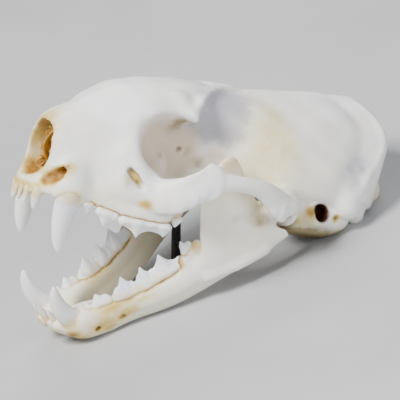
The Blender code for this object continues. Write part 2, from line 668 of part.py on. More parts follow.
def make_braincase(home, cutters):
    """The rear of the cranium with its crests, condyles, jaw sockets and mastoids."""
    group = collection("braincase_pieces")
    core = skin("core", cranium_rings(FACE_END + GAP / 2, CRANIUM_SECTIONS[-1][0]), group)
    ridge = [(0.0, y, z, half) for y, z, half in SAGITTAL_CREST]
    rows = np.asarray(ridge)
    places = spread(rows[0, 1], rows[-1, 1], 3.0)
    line = smooth(rows[:, 1], rows, places)
    tube("crown_ridge", line[:, :3], line[:, 3], line[:, 3], (0, 0, 1), group, 8)
    for side in (1, -1):
        cheekbone_bar("temple_root", CHEEKBONE_BACK + GAP / 2, CHEEKBONE_LINE[-1][0], group, side)
        pterygoid_plate(FACE_END + GAP / 2, PTERYGOID[-1][0], group, side)
        blob("socket", *SOCKET_ROOF, group, side)
        blob("socket_lip", *SOCKET_LIP, group, side, 0.0, -0.15)
        blob("mastoid", *MASTOID, group, side)
    blob("base", *SKULL_BASE, group)
    braincase = fuse("braincase", core, group, home)
    cut = collection("braincase_cuts")
    nape_cutter(cut)
    y, z = CRANIUM_HINGE
    for side in (1, -1):
        bar = sided([(x, y, z) for x in np.linspace(*SOCKET_REACH, 3)], side)
        tube("socket_cut", bar, SOCKET_RADIUS, SOCKET_RADIUS, (0, 0, 1), cut, 12)
    boolean(braincase, "DIFFERENCE", cut)
    keep_as_cutters(cut, cutters)
    group = collection("nape_pieces")
    for side in (1, -1):
        blob("condyle", CONDYLE_CENTRE, CONDYLE_RADII, group, side, -0.35, 0.35)
        blob("beside_nape", *BESIDE_NAPE, group, side, 0.0, 0.2)
    boolean(braincase, "UNION", group)
    discard(group)
    cut = collection("foramen_cut")
    blob("foramen", FORAMEN_CENTRE, FORAMEN_RADII, cut, detail=(14, 9))
    for side in (1, -1):
        bulla_forms(cut, side, GAP)
    boolean(braincase, "DIFFERENCE", cut)
    keep_as_cutters(cut, cutters)
    return braincase


def lower_jaw_rings():
    """Upright oval sections of one half of the lower jaw, fuller above than below."""
    places = spread(LOWER_JAW_SECTIONS[0][0], LOWER_JAW_SECTIONS[-1][0], 1.9)
    x, half, top, bottom = table(LOWER_JAW_SECTIONS, places)
    angle = 2 * np.pi * np.arange(12) / 12
    wide = np.sign(np.cos(angle)) * np.abs(np.cos(angle)) ** 0.8
    wide = wide * (1.0 + 0.12 * np.sin(angle))
    tall = np.sign(np.sin(angle)) * np.abs(np.sin(angle)) ** 0.9
    across = x[:, None] + half[:, None] * wide[None, :]
    height = (top + bottom)[:, None] / 2 + (top - bottom)[:, None] / 2 * tall[None, :]
    return np.stack([across, np.repeat(places[:, None], 12, axis=1), height], axis=-1)


def coronoid_rings():
    """Level lens-shaped sections of the blade that the temple muscle pulls on."""
    places = spread(CORONOID[0][0], CORONOID[-1][0], 1.8)
    front, back, x, thick = table(CORONOID, places)
    angle = 2 * np.pi * np.arange(12) / 12
    along = (front + back)[:, None] / 2 + (back - front)[:, None] / 2 * np.cos(angle)[None, :]
    across = x[:, None] + thick[:, None] * np.sin(angle)[None, :]
    return np.stack([across, along, np.repeat(places[:, None], 12, axis=1)], axis=-1)


def make_lower_jaw(side, home, cutters):
    """Half of the lower jaw with its teeth, its blade, its joint bar and its rear angle."""
    word = "left" if side > 0 else "right"
    group = collection("jaw_pieces")
    core = skin("core", sided(lower_jaw_rings(), side), group)
    skin("coronoid", sided(coronoid_rings(), side), group)
    y, z = LOWER_JAW_HINGE
    blob("joint", (JOINT_CENTRE_X, y, z), JOINT_RADII, group, side, 0.0, 0.0, (12, 10))
    blob("neck", *NECK, group, side, 0.0, 0.2)
    lower_teeth(group, side)
    jaw = fuse("lower_jaw_" + word, core, group, home)
    cut = collection("jaw_cuts")
    low, high = sorted((side * GAP / 2, -side * 8.0))
    box("midline", (low, -5, -12), (high, 20, 3.5), cut)
    blob("muscle_hollow", *MUSCLE_HOLLOW, cut, side, MUSCLE_HOLLOW_TURN, 0.0, (14, 10))
    for place in CHIN_HOLES:
        blob("chin_hole", place, CHIN_HOLE_RADII, cut, side, 0.0, 0.0, (8, 6))
    boolean(jaw, "DIFFERENCE", cut)
    keep_as_cutters(cut, cutters)
    return jaw


def pose(pitch, hinge):
    """From a part's own frame to the floor's: turned about the jaw joint, then set down."""
    return (
        Matrix.Translation((0.0, HINGE_Y, HINGE_Z))
        @ Matrix.Rotation(-pitch, 4, "X")
        @ Matrix.Translation((0.0, -hinge[0], -hinge[1]))
    )


def make_rod(home):
    """The prop, from the floor up to just under the palate, leaning with the skull."""
    top = pose(CRANIUM_PITCH, CRANIUM_HINGE) @ Vector(ROD_TOP)
    length = (top.z + 3.0) / math.cos(ROD_LEAN)
    mesh = bpy.data.meshes.new("stand_rod")
    form = bmesh.new()
    bmesh.ops.create_cone(
        form, cap_ends=True, segments=16, radius1=ROD_RADIUS, radius2=ROD_RADIUS, depth=length
    )
    form.transform(
        Matrix.Translation(top)
        @ Matrix.Rotation(-ROD_LEAN, 4, "X")
        @ Matrix.Translation((0.0, 0.0, -length / 2))
    )
    form.to_mesh(mesh)
    form.free()
    rod = bpy.data.objects.new("stand_rod", mesh)
    home.objects.link(rod)
    return rod


def paint(obj, name, colour, roughness, metallic=0.0):
    material = bpy.data.materials.new(name)
    material.use_nodes = True
    shader = material.node_tree.nodes["Principled BSDF"]
    shader.inputs["Base Color"].default_value = colour
    shader.inputs["Roughness"].default_value = roughness
    shader.inputs["Metallic"].default_value = metallic
    obj.data.materials.clear()
    obj.data.materials.append(material)


def cut_flat(obj, floor):
    """Takes off what reaches below the floor, so that the part rests on small flats."""
    modifier = obj.modifiers.new("flat", "BOOLEAN")
    modifier.operation = "DIFFERENCE"
    modifier.object = floor
    modifier.solver = "EXACT"
    mesh = evaluated_mesh(obj)
    obj.modifiers.clear()
    obj.data = mesh
    keep_largest(obj.data)


def to_metres(obj):
    obj.data.transform(Matrix.Scale(MM, 4))
    obj.data.shade_smooth()
    obj.data.set_sharp_from_angle(angle=math.radians(50.0))


def main():
    clear_scene()
    home = collection("polecat_skull")
    cutters = collection("cutters")
    cranium = [make_face(home, cutters), make_braincase(home, cutters)]
    lower = []
    for side in (1, -1):
        word = "left" if side > 0 else "right"
        start = CHEEKBONE_FRONT + GAP / 2
        end = CHEEKBONE_BACK - GAP / 2
        cranium.append(cheekbone_bar("cheekbone_" + word, start, end, home, side))
        cranium.append(make_bulla(side, home))
        lower.append(make_lower_jaw(side, home, cutters))
    for obj in cranium:
        obj.data.transform(pose(CRANIUM_PITCH, CRANIUM_HINGE))
    for obj in lower:
        obj.data.transform(pose(LOWER_JAW_PITCH, LOWER_JAW_HINGE))
    rod = make_rod(home)
    floor = box("floor_cutter", (-60, -80, -30), (60, 80, 0), cutters)
    for obj in (*cranium, *lower, rod):
        cut_flat(obj, floor)
        to_metres(obj)
    hide_cutters(cutters)
    for obj in cutters.objects:
        obj.data.transform(Matrix.Scale(MM, 4))
    for obj in (*cranium, *lower):
        paint(obj, obj.name, JAW_BONE if "jaw" in obj.name else BONE, 0.42)
    for word in ("left", "right"):
        paint(bpy.data.objects["ear_bulla_" + word], "bulla_bone_" + word, PALE_BONE, 0.4)
    paint(rod, "rod_steel", DARK_STEEL, 0.35, 1.0)


main()
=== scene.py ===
# %% [markdown]
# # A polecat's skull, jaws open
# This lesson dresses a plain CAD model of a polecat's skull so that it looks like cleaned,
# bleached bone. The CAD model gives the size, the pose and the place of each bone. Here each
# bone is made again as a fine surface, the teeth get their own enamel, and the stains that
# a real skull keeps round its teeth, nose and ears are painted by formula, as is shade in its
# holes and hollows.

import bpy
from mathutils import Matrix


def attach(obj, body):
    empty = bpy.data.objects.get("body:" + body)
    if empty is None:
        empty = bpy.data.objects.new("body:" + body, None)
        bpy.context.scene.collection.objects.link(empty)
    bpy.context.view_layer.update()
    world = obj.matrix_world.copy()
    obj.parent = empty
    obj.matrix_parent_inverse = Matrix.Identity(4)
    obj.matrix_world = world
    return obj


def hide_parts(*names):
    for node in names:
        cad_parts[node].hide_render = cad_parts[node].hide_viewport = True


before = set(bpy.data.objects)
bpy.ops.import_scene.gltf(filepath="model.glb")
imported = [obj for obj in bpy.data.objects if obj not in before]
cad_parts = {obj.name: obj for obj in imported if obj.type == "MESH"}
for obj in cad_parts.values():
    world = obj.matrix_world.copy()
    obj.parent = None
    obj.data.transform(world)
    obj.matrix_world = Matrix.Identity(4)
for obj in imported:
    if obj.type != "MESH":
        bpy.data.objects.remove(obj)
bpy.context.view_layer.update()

# %% Blender's own modules and numpy
import math

import bpy
import numpy as np
from mathutils import Matrix, Vector
from mathutils.kdtree import KDTree

MM = 0.001
GAP = 0.3
print("Blender", bpy.app.version_string)

# %% [markdown]
# ## Two frames and one pose
# Each bone is drawn in a frame of its own, in millimetres: zero at the front edge of the jaw,
# on the line of the cheek teeth, with X to the animal's left, Y to its back and Z up. Both
# frames are then turned about the jaw joint, which opens the mouth, and set down on the floor.

# %% From a bone's own frame to the floor's
CRANIUM_PITCH = math.radians(29.9)
LOWER_JAW_PITCH = math.radians(-4.9)
CRANIUM_HINGE = (42.5, 2.5)
LOWER_JAW_HINGE = (41.0, 1.5)
HINGE_Y = 5.25
HINGE_Z = 10.25


def set_down(points, pitch, hinge):
    """Points turned by pitch about the jaw joint, then moved to the joint's place above the
    floor. What would sink below the floor is pressed flat on it."""
    y = points[:, 1] - hinge[0]
    z = points[:, 2] - hinge[1]
    placed_y = HINGE_Y + y * math.cos(pitch) + z * math.sin(pitch)
    placed_z = HINGE_Z - y * math.sin(pitch) + z * math.cos(pitch)
    return np.column_stack([points[:, 0], placed_y, np.maximum(placed_z, 0.0)])


print("gape", round(math.degrees(CRANIUM_PITCH - LOWER_JAW_PITCH), 1), "degrees")

# %% [markdown]
# ## Reading a table smoothly
# A bone is described by a short table of named stations. Between two stations the numbers
# follow a cubic, so that a few rows give a surface with no corners.

# %% Smooth tables and curves


def smooth(keys, values, at):
    """Cubic reading of a table: at each key the slope is that of the parabola through its
    neighbours, and between two keys a cubic has both their values and both their slopes."""
    keys = np.asarray(keys, float)
    values = np.asarray(values, float)
    slope = np.gradient(values, keys, axis=0)
    at = np.clip(np.asarray(at, float), keys[0], keys[-1])
    left = np.clip(np.searchsorted(keys, at, side="right") - 1, 0, len(keys) - 2)
    width = (keys[left + 1] - keys[left])[:, None]
    t = ((at - keys[left]) / (keys[left + 1] - keys[left]))[:, None]
    return (
        (1 + 2 * t) * (1 - t) ** 2 * values[left]
        + t * (1 - t) ** 2 * width * slope[left]
        + t * t * (3 - 2 * t) * values[left + 1]
        + t * t * (t - 1) * width * slope[left + 1]
    )


def table(rows, at):
    """The columns of a table at places along its first column."""
    rows = np.asarray(rows, float)
    return smooth(rows[:, 0], rows[:, 1:], at).T


def along(rows, spacing):
    """A table read at even steps along its first column, as columns again."""
    start, end = rows[0][0], rows[-1][0]
    places = np.linspace(start, end, int((end - start) / spacing) + 2)
    return places, *table(rows, places)


def closed_curve(corners, steps):
    """A smooth closed curve through the corners: a cubic table that wraps round, whose keys
    are spaced by the square root of the distance between corners."""
    corners = np.asarray(corners, float)
    chord = np.linalg.norm(np.roll(corners, -1, axis=0) - corners, axis=1) ** 0.5
    wrapped = np.concatenate([corners[-3:], corners, corners[:4]])
    lengths = np.concatenate([chord[-3:], chord, chord[:3]])
    keys = np.concatenate([[0.0], np.cumsum(lengths)])
    first = keys[3 : 3 + len(corners)]
    places = (first[:, None] + chord[:, None] * np.arange(steps) / steps).ravel()
    return smooth(keys, wrapped, places)


print("halfway to a peak of 1:", smooth([0, 1, 2], [[0], [1], [0]], [0.5]).item())

# %% [markdown]
# ## Clay on a grid
# A skull grows as one piece: the cheekbone melts into the jaw, the brow into the roof. Lofts
# that are only joined show a crease where they meet. So each bone is first kept as a number
# on a fine grid: the distance to its surface, below zero inside. Two forms melt together
# where the smaller of their distances is taken with a soft corner, and a hollow is carved the
# same way. Only the left half is worked out, then mirrored.

# %% A block of clay, and what is done to it
FAR = 9.0
REACH = 1.0
LEAST_SLOPE = 0.4


def new_block(low, high, step):
    """An empty block: sample points along three axes and a distance that is large all over."""
    axes = [np.arange(a, b + step, step, dtype=np.float32) for a, b in zip(low, high)]
    field = np.full([len(axis) for axis in axes], FAR, np.float32)
    return {"axes": axes, "field": field, "step": step}


def window(block, low=(-99, -99, -99), high=(99, 99, 99)):
    """The part of the block inside a box: its slices, and x, y and z there, ready to spread."""
    spans = tuple(
        slice(*np.searchsorted(axis, (a, b))) for axis, a, b in zip(block["axes"], low, high)
    )
    x, y, z = (axis[span] for axis, span in zip(block["axes"], spans))
    return spans, (x[:, None, None], y[None, :, None], z[None, None, :])


def soft_least(a, b, soft):
    """The smaller of two distances, with the corner between them rounded over a width."""
    share = np.clip(0.5 + 0.5 * (b - a) / soft, 0.0, 1.0)
    return b + (a - b) * share - soft * share * (1 - share)


def add(block, shape, soft, sign=1.0):
    """Melts a shape into the block, within the shape's own box and a little round it."""
    distance, low, high = shape
    margin = soft + REACH
    spans, place = window(block, np.subtract(low, margin), np.add(high, margin))
    block["field"][spans] = sign * soft_least(sign * block["field"][spans], distance(*place), soft)


def carve(block, shape, soft):
    """Takes a shape out of the block: it is melted into what lies outside."""
    add(block, shape, soft, -1.0)


def even_out(field, step):
    """Divides a field by its own slope, so that it grows by one for each millimetre."""
    slope = np.sqrt(sum(part**2 for part in np.gradient(field, step)))
    return field / np.maximum(slope, LEAST_SLOPE)


print("where two surfaces cross, the clay grows by", -soft_least(0.0, 0.0, 1.0), "mm")

# %% A ball. Each shape is a distance, and the two corners of the box round it
TINY = 1e-6


def ball(centre, radii, turn=0.0, tip=0.0):
    """Distance to an ellipsoid, turned about Z and tipped about X: with the point divided by
    the radii once (k) and twice (m), it is k times (k - 1) over m."""
    def distance(x, y, z):
        x, y, z = x - centre[0], y - centre[1], z - centre[2]
        x, y = x * math.cos(turn) + y * math.sin(turn), y * math.cos(turn) - x * math.sin(turn)
        y, z = y * math.cos(tip) + z * math.sin(tip), z * math.cos(tip) - y * math.sin(tip)
        k = np.sqrt((x / radii[0]) ** 2 + (y / radii[1]) ** 2 + (z / radii[2]) ** 2) + TINY
        m = np.sqrt(sum((part / r**2) ** 2 for part, r in zip((x, y, z), radii))) + TINY
        return k * (k - 1.0) / m
    reach = max(radii)
    return distance, np.subtract(centre, reach), np.add(centre, reach)


print("1 mm off a ball:", round(ball((0, 0, 0), (2, 2, 2))[0](3, 0, 0), 3))

# %% A bar along a path


def bar(path, across, upright):
    """Distance to a bar with an oval section that follows a path: for each stretch the
    nearest place on it is found, and the offset from there is measured along the level and
    the upright radius at that place."""
    path = np.asarray(path, float)
    across = np.broadcast_to(across, len(path)).astype(float)
    upright = np.broadcast_to(upright, len(path)).astype(float)

    def distance(x, y, z):
        nearest = None
        for a, b, wide, tall in zip(
            path[:-1], path[1:], zip(across, across[1:]), zip(upright, upright[1:])
        ):
            ahead = b - a
            level = np.array((ahead[1], -ahead[0], 0.0))
            level /= max(np.linalg.norm(level), TINY)
            t = ((x - a[0]) * ahead[0] + (y - a[1]) * ahead[1] + (z - a[2]) * ahead[2])
            t = np.clip(t / (ahead @ ahead), 0.0, 1.0)
            dx, dy, dz = (p - (o + t * d) for p, o, d in zip((x, y, z), a, ahead))
            side = dx * level[0] + dy * level[1]
            rest = np.maximum(dx**2 + dy**2 + dz**2 - side**2, 0.0)
            radius_level = wide[0] + t * (wide[1] - wide[0])
            radius_up = tall[0] + t * (tall[1] - tall[0])
            k = np.sqrt((side / radius_level) ** 2 + rest / radius_up**2) + TINY
            m = np.sqrt((side / radius_level**2) ** 2 + rest / radius_up**4) + TINY
            found = k * (k - 1.0) / m
            nearest = found if nearest is None else np.minimum(nearest, found)
        return nearest
    reach = max(across.max(), upright.max())
    return distance, path.min(axis=0) - reach, path.max(axis=0) + reach


print("1 mm off a bar:", round(bar(((0, 0, 0), (4, 0, 0)), 1, 1)[0](2, 2, 0), 3))

# %% A cone for a cusp
BASE_SQUEEZE = 2.2
CUSP_POINT = 0.17


def cone(base, tip, radius, flat, heading):
    """Distance to a blunt cone from base to tip. Its radius falls to CUSP_POINT with a slight
    swell, and it is flat times as thick across the heading as along it. Below the base its
    round end is squeezed, so that the gum line stays straight."""
    ahead = tip - base

    def distance(x, y, z):
        dx, dy, dz = x - base[0], y - base[1], z - base[2]
        place = (dx * ahead[0] + dy * ahead[1] + dz * ahead[2]) / (ahead @ ahead)
        t = np.clip(place, 0, 1)
        dx, dy, dz = dx - t * ahead[0], dy - t * ahead[1], dz - t * ahead[2]
        side = dx * heading[1] - dy * heading[0]
        below = np.minimum(place, 0) ** 2 * (ahead @ ahead)
        rest = np.maximum(dx**2 + dy**2 + dz**2 - side**2, 0.0) + (BASE_SQUEEZE**2 - 1) * below
        swell = radius + (CUSP_POINT - radius) * t ** 1.1
        return (np.sqrt(rest + (side / flat) ** 2) - swell) * (0.5 + 0.5 * flat)
    return distance, np.minimum(base, tip) - radius, np.maximum(base, tip) + radius


spike = cone(np.zeros(3), np.array((0.0, 0.0, 2.0)), 1.0, 1.0, (1.0, 0.0))
print("1 mm off a cone's base:", round(spike[0](2, 0, 0), 3))

# %% [markdown]
# ## From clay to a mesh
# The surface lies where the distance changes sign. Each cell of the grid that the surface
# passes through gets one point, at the middle of its crossings, and each grid edge that the
# surface crosses joins the four cells round it with a square. Smoothing that neither shrinks
# nor swells then takes the grid's pattern out.

# %% Squares over the zero surface


def mirrored(block):
    """The whole block from its left half, whose first layer lies on the midline."""
    x, y, z = block["axes"]
    field = np.concatenate([block["field"][:0:-1], block["field"]])
    return {"axes": [np.concatenate([-x[:0:-1], x]), y, z], "field": field, "step": block["step"]}


def net(block):
    """Points and outward squares of the zero surface. A cell's point is the mean of where
    the field is zero along its twelve edges."""
    field = block["field"]
    inside = field < 0
    size = np.array(field.shape) - 1
    steps = np.eye(3, dtype=int)
    corners = list(np.ndindex(2, 2, 2))
    count = sum(
        inside[tuple(slice(a, a + b) for a, b in zip(corner, size))].astype(np.int8)
        for corner in corners
    )
    active = (count > 0) & (count < 8)
    cells = np.argwhere(active)
    number = np.full(active.shape, -1, np.int64)
    number[active] = np.arange(len(cells))
    total = np.zeros((len(cells), 3))
    crossings = np.zeros(len(cells))
    for start in corners:
        for ahead in (step for step in steps if not step @ start):
            a, b = (field[tuple((cells + corner).T)] for corner in (start, start + ahead))
            crossed = (a < 0) != (b < 0)
            share = np.where(crossed, a / np.where(crossed, a - b, 1.0), 0.0)
            total += (start + share[:, None] * ahead) * crossed[:, None]
            crossings += crossed
    points = cells + total / crossings[:, None]
    squares = []
    for axis in range(3):
        sides = [(axis + 1) % 3, (axis + 2) % 3]
        layers = np.moveaxis(inside, axis, 0)
        edges = np.argwhere(np.moveaxis(layers[:-1] != layers[1:], 0, axis))
        place = edges[:, sides]
        edges = edges[((place > 0) & (place < size[sides])).all(axis=1)]
        u, v = steps[sides]
        around = [number[tuple((edges - step).T)] for step in (0 * u, u, u + v, v)]
        square = np.stack(around, axis=1)
        squares.append(np.where(inside[tuple(edges.T)][:, None], square, square[:, ::-1]))
    origin = np.array([axis[0] for axis in block["axes"]], float)
    return origin + points * block["step"], np.concatenate(squares)


trial = new_block((-2, -2, -2), (2, 2, 2), 0.5)
add(trial, ball((0, 0, 0), (1.2, 1.2, 1.2)), 0.1)
print("a ball of clay becomes", len(net(trial)[1]), "squares")

# %% Smoothing, and the largest surface


def relax(points, squares):
    """Twice moves each point halfway towards the mean of its neighbours, then away by a
    little more, which takes out ripples as small as the grid and leaves the size."""
    edges = np.concatenate([squares[:, [i, (i + 1) % 4]] for i in range(4)])
    edges = np.concatenate([edges, edges[:, ::-1]])
    degree = np.bincount(edges[:, 0], minlength=len(points))[:, None]
    for amount in (0.5, -0.52, 0.5, -0.52):
        near = points[edges[:, 1]]
        total = [np.bincount(edges[:, 0], near[:, i], len(points)) for i in range(3)]
        points = points + amount * (np.stack(total, axis=1) / degree - points)
    return points


def largest(points, squares):
    """Only the largest connected surface: each point takes the lowest number among its
    neighbours until nothing changes."""
    label = np.arange(len(points))
    while True:
        new = label.copy()
        np.minimum.at(new, squares.ravel(), np.repeat(label[squares].min(axis=1), 4))
        new = new[new]
        if (new == label).all():
            break
        label = new
    keep = label == np.bincount(label).argmax()
    order = np.cumsum(keep) - 1
    return points[keep], order[squares[keep[squares[:, 0]]]]


print("the ball keeps", len(largest(*net(trial))[0]), "points")

# %% A mesh object from arrays


def new_piece(name, points, faces, masks=None):
    """A mesh object whose place is in its points, in metres, with its masks as attributes."""
    mesh = bpy.data.meshes.new(name)
    mesh.from_pydata((points * MM).tolist(), [], faces.tolist())
    mesh.shade_smooth()
    for word, values in (masks or {}).items():
        layer = mesh.attributes.new(word, "FLOAT", "POINT")
        layer.data.foreach_set("value", np.asarray(values, np.float32))
    obj = bpy.data.objects.new(name, mesh)
    bpy.context.scene.collection.objects.link(obj)
    print(name, len(points), "points,", len(faces), "faces")
    return obj


# %% [markdown]
# ## Stains and painted shade that follow the bone
# Bleached bone isn't one colour. Fat stays amber in the nose, in small openings and along the
# teeth, thin walls over hollow places look blue and grey, and muscle marks stay cream. Shade is
# painted too: umber in holes and deep in the nose, olive under the bulla, in the orbit and at
# the jaw joint, grey in the jaw's muscle hollow, cream and beige on the jaw's inner side. Each
# kind of stain or shade is a mask on the surface: soft spots from a table of places and sizes,
# or a band along a path. The material mixes its colours by these masks.

# %% Spots and bands
STAIN_AND_SHADE_WORDS = ("amber", "cream_and_shade", "beige_and_shade", "olive_and_shade", "slate_and_shade", "painted_shade", "gum")


def folded(points):
    """Points with the right side laid on the left one."""
    return np.column_stack([np.abs(points[:, 0]), points[:, 1:]])


def stain_and_shade_masks(points, tables):
    """A mask for each kind of stain or painted shade, made of the strongest of its soft spots. A
    spot falls off as a bell curve of the distance over its radii, and both sides get the same
    ones."""
    place = folded(points)
    masks = {word: np.zeros(len(points)) for word in STAIN_AND_SHADE_WORDS}
    for word, rows in tables.items():
        for centre, radii, strength in rows:
            bell = strength * np.exp(-(((place - centre) / radii) ** 2).sum(axis=1))
            masks[word] = np.maximum(masks[word], bell)
    return masks


def band(points, path, width):
    """A bell curve of the distance to a path, the same on both sides."""
    place = folded(points)
    path = np.asarray(path, float)
    nearest = np.full(len(points), np.inf)
    for a, b in zip(path[:-1], path[1:]):
        t = np.clip((place - a) @ (b - a) / ((b - a) @ (b - a)), 0.0, 1.0)
        away = place - a - t[:, None] * (b - a)
        nearest = np.minimum(nearest, (away**2).sum(axis=1))
    return np.exp(-nearest / width**2)


print(len(STAIN_AND_SHADE_WORDS), "kinds of stain")

# %% [markdown]
# ## The cranium's body
# A table of cross sections from nose to nape, each through a point on the roof, the waist
# above the cheek, the cheek and the floor. Seen from its middle every section is a simple
# round outline, so the distance to it is taken along the line from the middle.

# %% The cranium's sections: y, top, then half width and height of four points, and bottom
CRANIUM_SECTIONS = (
    (-1, 11, 2.9, 10, 4.2, 7.3, 4.4, 3.6, 4.4, 1, 0.2),
    (2.4, 11.7, 3, 10.6, 4.3, 7.6, 4.7, 3.7, 4.8, 1, 0.2),
    (3.9, 13.2, 3.5, 12, 4.6, 8.2, 5.4, 3.8, 5.7, 1, 0.3),
    (5.5, 14.1, 3.9, 12.7, 5.1, 8.8, 6.4, 4.2, 6.7, 1, 0.3),
    (7.5, 15.05, 4.3, 13.4, 5.6, 9.5, 6.9, 4.6, 7, 1, 0.4),
    (10, 16.3, 4.9, 14.5, 6.4, 10.5, 7.5, 5, 7.4, 0.9, 0.5),
    (13, 18.15, 6, 16, 7.6, 11.4, 9.3, 5.2, 8.6, 0.7, 0.6),
    (16, 19.6, 7.6, 16.9, 9.2, 12, 11.9, 5.4, 10, 0.3, 0.7),
    (19, 20.3, 8.8, 17, 8, 12.2, 12.6, 4.6, 11.2, 0.2, 0.8),
    (22.5, 20.8, 9, 17, 6, 12, 11.2, 4.2, 11, 0.4, 0.8),
    (25.5, 21, 8.7, 17.3, 5.5, 11.8, 7.4, 5, 8.4, 1.2, 0.9),
    (28.5, 20.9, 7.6, 17.6, 5.6, 12.2, 5.4, 6.4, 5.2, 2.2, 1),
    (32, 20.6, 6.5, 17.9, 6.4, 13, 5.7, 7.4, 4.8, 3.4, 1.8),
    (36, 20, 7.4, 17.6, 9, 12.6, 8.4, 7.6, 5.2, 4.5, 3.3),
    (40, 19.8, 8.8, 17.3, 11.6, 12.2, 11.4, 7.2, 6.8, 4.2, 3.6),
    (44, 19.8, 9.6, 17.1, 13, 12, 13.7, 6.4, 9.5, 3.6, 3.5),
    (48, 20, 10, 17, 13.6, 11.6, 14.5, 6, 11.4, 3.2, 3.4),
    (52, 20.2, 10.1, 17, 13.8, 11.4, 14.7, 5.8, 12, 3, 3.3),
    (57, 20.2, 9.8, 16.8, 13.5, 11.2, 14.7, 5.8, 12, 3, 3.1),
    (61, 19.9, 9.3, 16.4, 13, 11, 14.2, 6, 10.8, 3.2, 3),
    (65, 19.3, 8.8, 16, 12.5, 10.7, 13.4, 6, 9.4, 3.3, 3),
    (70, 18.2, 8.2, 15.2, 11.9, 10.2, 12.6, 5.8, 8.6, 3.3, 3),
)
CRANIUM_LOW = (0.0, -0.6, -8.0)
CRANIUM_HIGH = (20.2, 70.4, 22.8)
CRANIUM_STEP = 0.34
MIDDLE_SHARE = 0.55
CURVE_STEPS = 16


def body_distance(block):
    """For each layer of the block across Y: the section's outline as a radius for every
    angle round its middle, and the distance from the middle less that radius."""
    x, y, z = block["axes"]
    field = np.empty_like(block["field"])
    for layer, (top, *half, bottom) in enumerate(table(CRANIUM_SECTIONS, y).T):
        half = np.reshape(half, (-1, 2))
        corners = ((0.0, top), *half, (0.0, bottom), *(half[::-1] * (-1.0, 1.0)))
        outline = closed_curve(corners, CURVE_STEPS)
        middle = MIDDLE_SHARE * top + (1 - MIDDLE_SHARE) * bottom
        angle = np.arctan2(outline[:, 0], outline[:, 1] - middle)
        radius = np.hypot(outline[:, 0], outline[:, 1] - middle)
        order = np.argsort(angle)
        turn = np.concatenate([angle[order] - 2 * np.pi, angle[order], angle[order] + 2 * np.pi])
        above = (z - middle)[None, :]
        reach = np.interp(np.arctan2(x[:, None], above), turn, np.tile(radius[order], 3))
        field[:, layer] = np.hypot(x[:, None], above) - reach
    return even_out(field, block["step"])


print(len(CRANIUM_SECTIONS), "sections")

# %% [markdown]
# ## The two ends of the body
# The front of the nose is a slanted edge: the nasal bones end above and behind the front
# teeth. The back is the occiput, which sweeps forward to the sides and meets the roof in a
# sharp crest where the neck muscles hold. Both are surfaces that cut the body off, and the
# crest is drawn out a little by lifting the body's surface near that edge.

# %% Where the nose ends and where the nape ends
NOSE_EDGE = (
    (-1, 0.5), (1.2, 0.5), (2.4, 0.8), (3.4, 1.3), (5, 1.65), (8, 1.8), (10.5, 2.4),
    (12.6, 3.4), (14.5, 5.4),
)
NOSE_SWEEP = 0.1
NAPE_BACK = 67.9
NAPE_SWEEP = 9.5
NAPE_REACH = 16.0
NAPE_LEAN = 0.11
CROWN_HEIGHT = 18.0
CROWN_BEND = 0.1
CROWN_BEND_FROM = 13.0
CREST_LIFT = 0.55
CREST_WIDTH = 1.7
CREST_FROM = 5.0
CREST_RISE = 3.0
CREST_GROOVE = (0.3, 5.0, 1.5)
NAPE_HOLLOW = (0.9, 4.8, 2.4, 12.6, 2.8)
UNEVENNESS = 0.055
WAVES = ((1.1, 0.5, 0.0, 0.0), (0.0, 0.8, 1.2, 1.0), (-1.3, 0.0, 0.9, 2.0))
END_SOFT = 0.5


def nape_at(x, z):
    """How far back the occiput is: its middle, less the cube of the distance from the
    middle, less its lean below the crown and the square of its bend near the crown."""
    bend = CROWN_BEND * np.maximum(z - CROWN_BEND_FROM, 0.0) ** 2
    sweep = NAPE_SWEEP * np.abs(x / NAPE_REACH) ** 3
    return NAPE_BACK - sweep - NAPE_LEAN * (CROWN_HEIGHT - z) - bend


def cut_ends(block):
    """Lifts the crest, presses a groove before it, adds waves so that no face is quite even,
    and cuts off what lies before the nose's edge and behind the nape."""
    x, y, z = window(block)[1]
    edge = np.interp(z, *np.array(NOSE_EDGE).T) + NOSE_SWEEP * x**2
    behind = nape_at(x, z)
    high = np.clip((z - CREST_FROM) / CREST_RISE, 0.0, 1.0)
    field = block["field"] - CREST_LIFT * np.exp(-(((y - behind) / CREST_WIDTH) ** 2)) * high
    depth, before, width = CREST_GROOVE
    field = field + depth * np.exp(-(((y - behind + before) / width) ** 2)) * high
    waves = sum(np.sin(a * x + b * y + c * z + start) for a, b, c, start in WAVES)
    field = field + UNEVENNESS * waves
    depth, middle, wide, height, tall = NAPE_HOLLOW
    behind = behind - depth * np.exp(-(((x - middle) / wide) ** 2) - ((z - height) / tall) ** 2)
    field = -soft_least(-field, y - edge, END_SOFT)
    block["field"] = -soft_least(-field, behind - y, END_SOFT)


print("the nape's middle is", round(nape_at(0.0, CROWN_BEND_FROM), 2), "mm back")

# %% [markdown]
# ## Cheekbone, brow, rims and sockets
# The cheekbone is a bar from the upper jaw to the ear, tall in front and with a small peak
# where the eye's ligament held. The other forms of the cranium are bars and balls as well:
# the rim that carries the cheek teeth, the bulge of the canine's root, the brow's point, the
# faint lines where the temple muscles end, the thin plates behind the palate, the jaw's
# socket, the bulla that holds the inner ear, and the condyles that met the first neck bone.

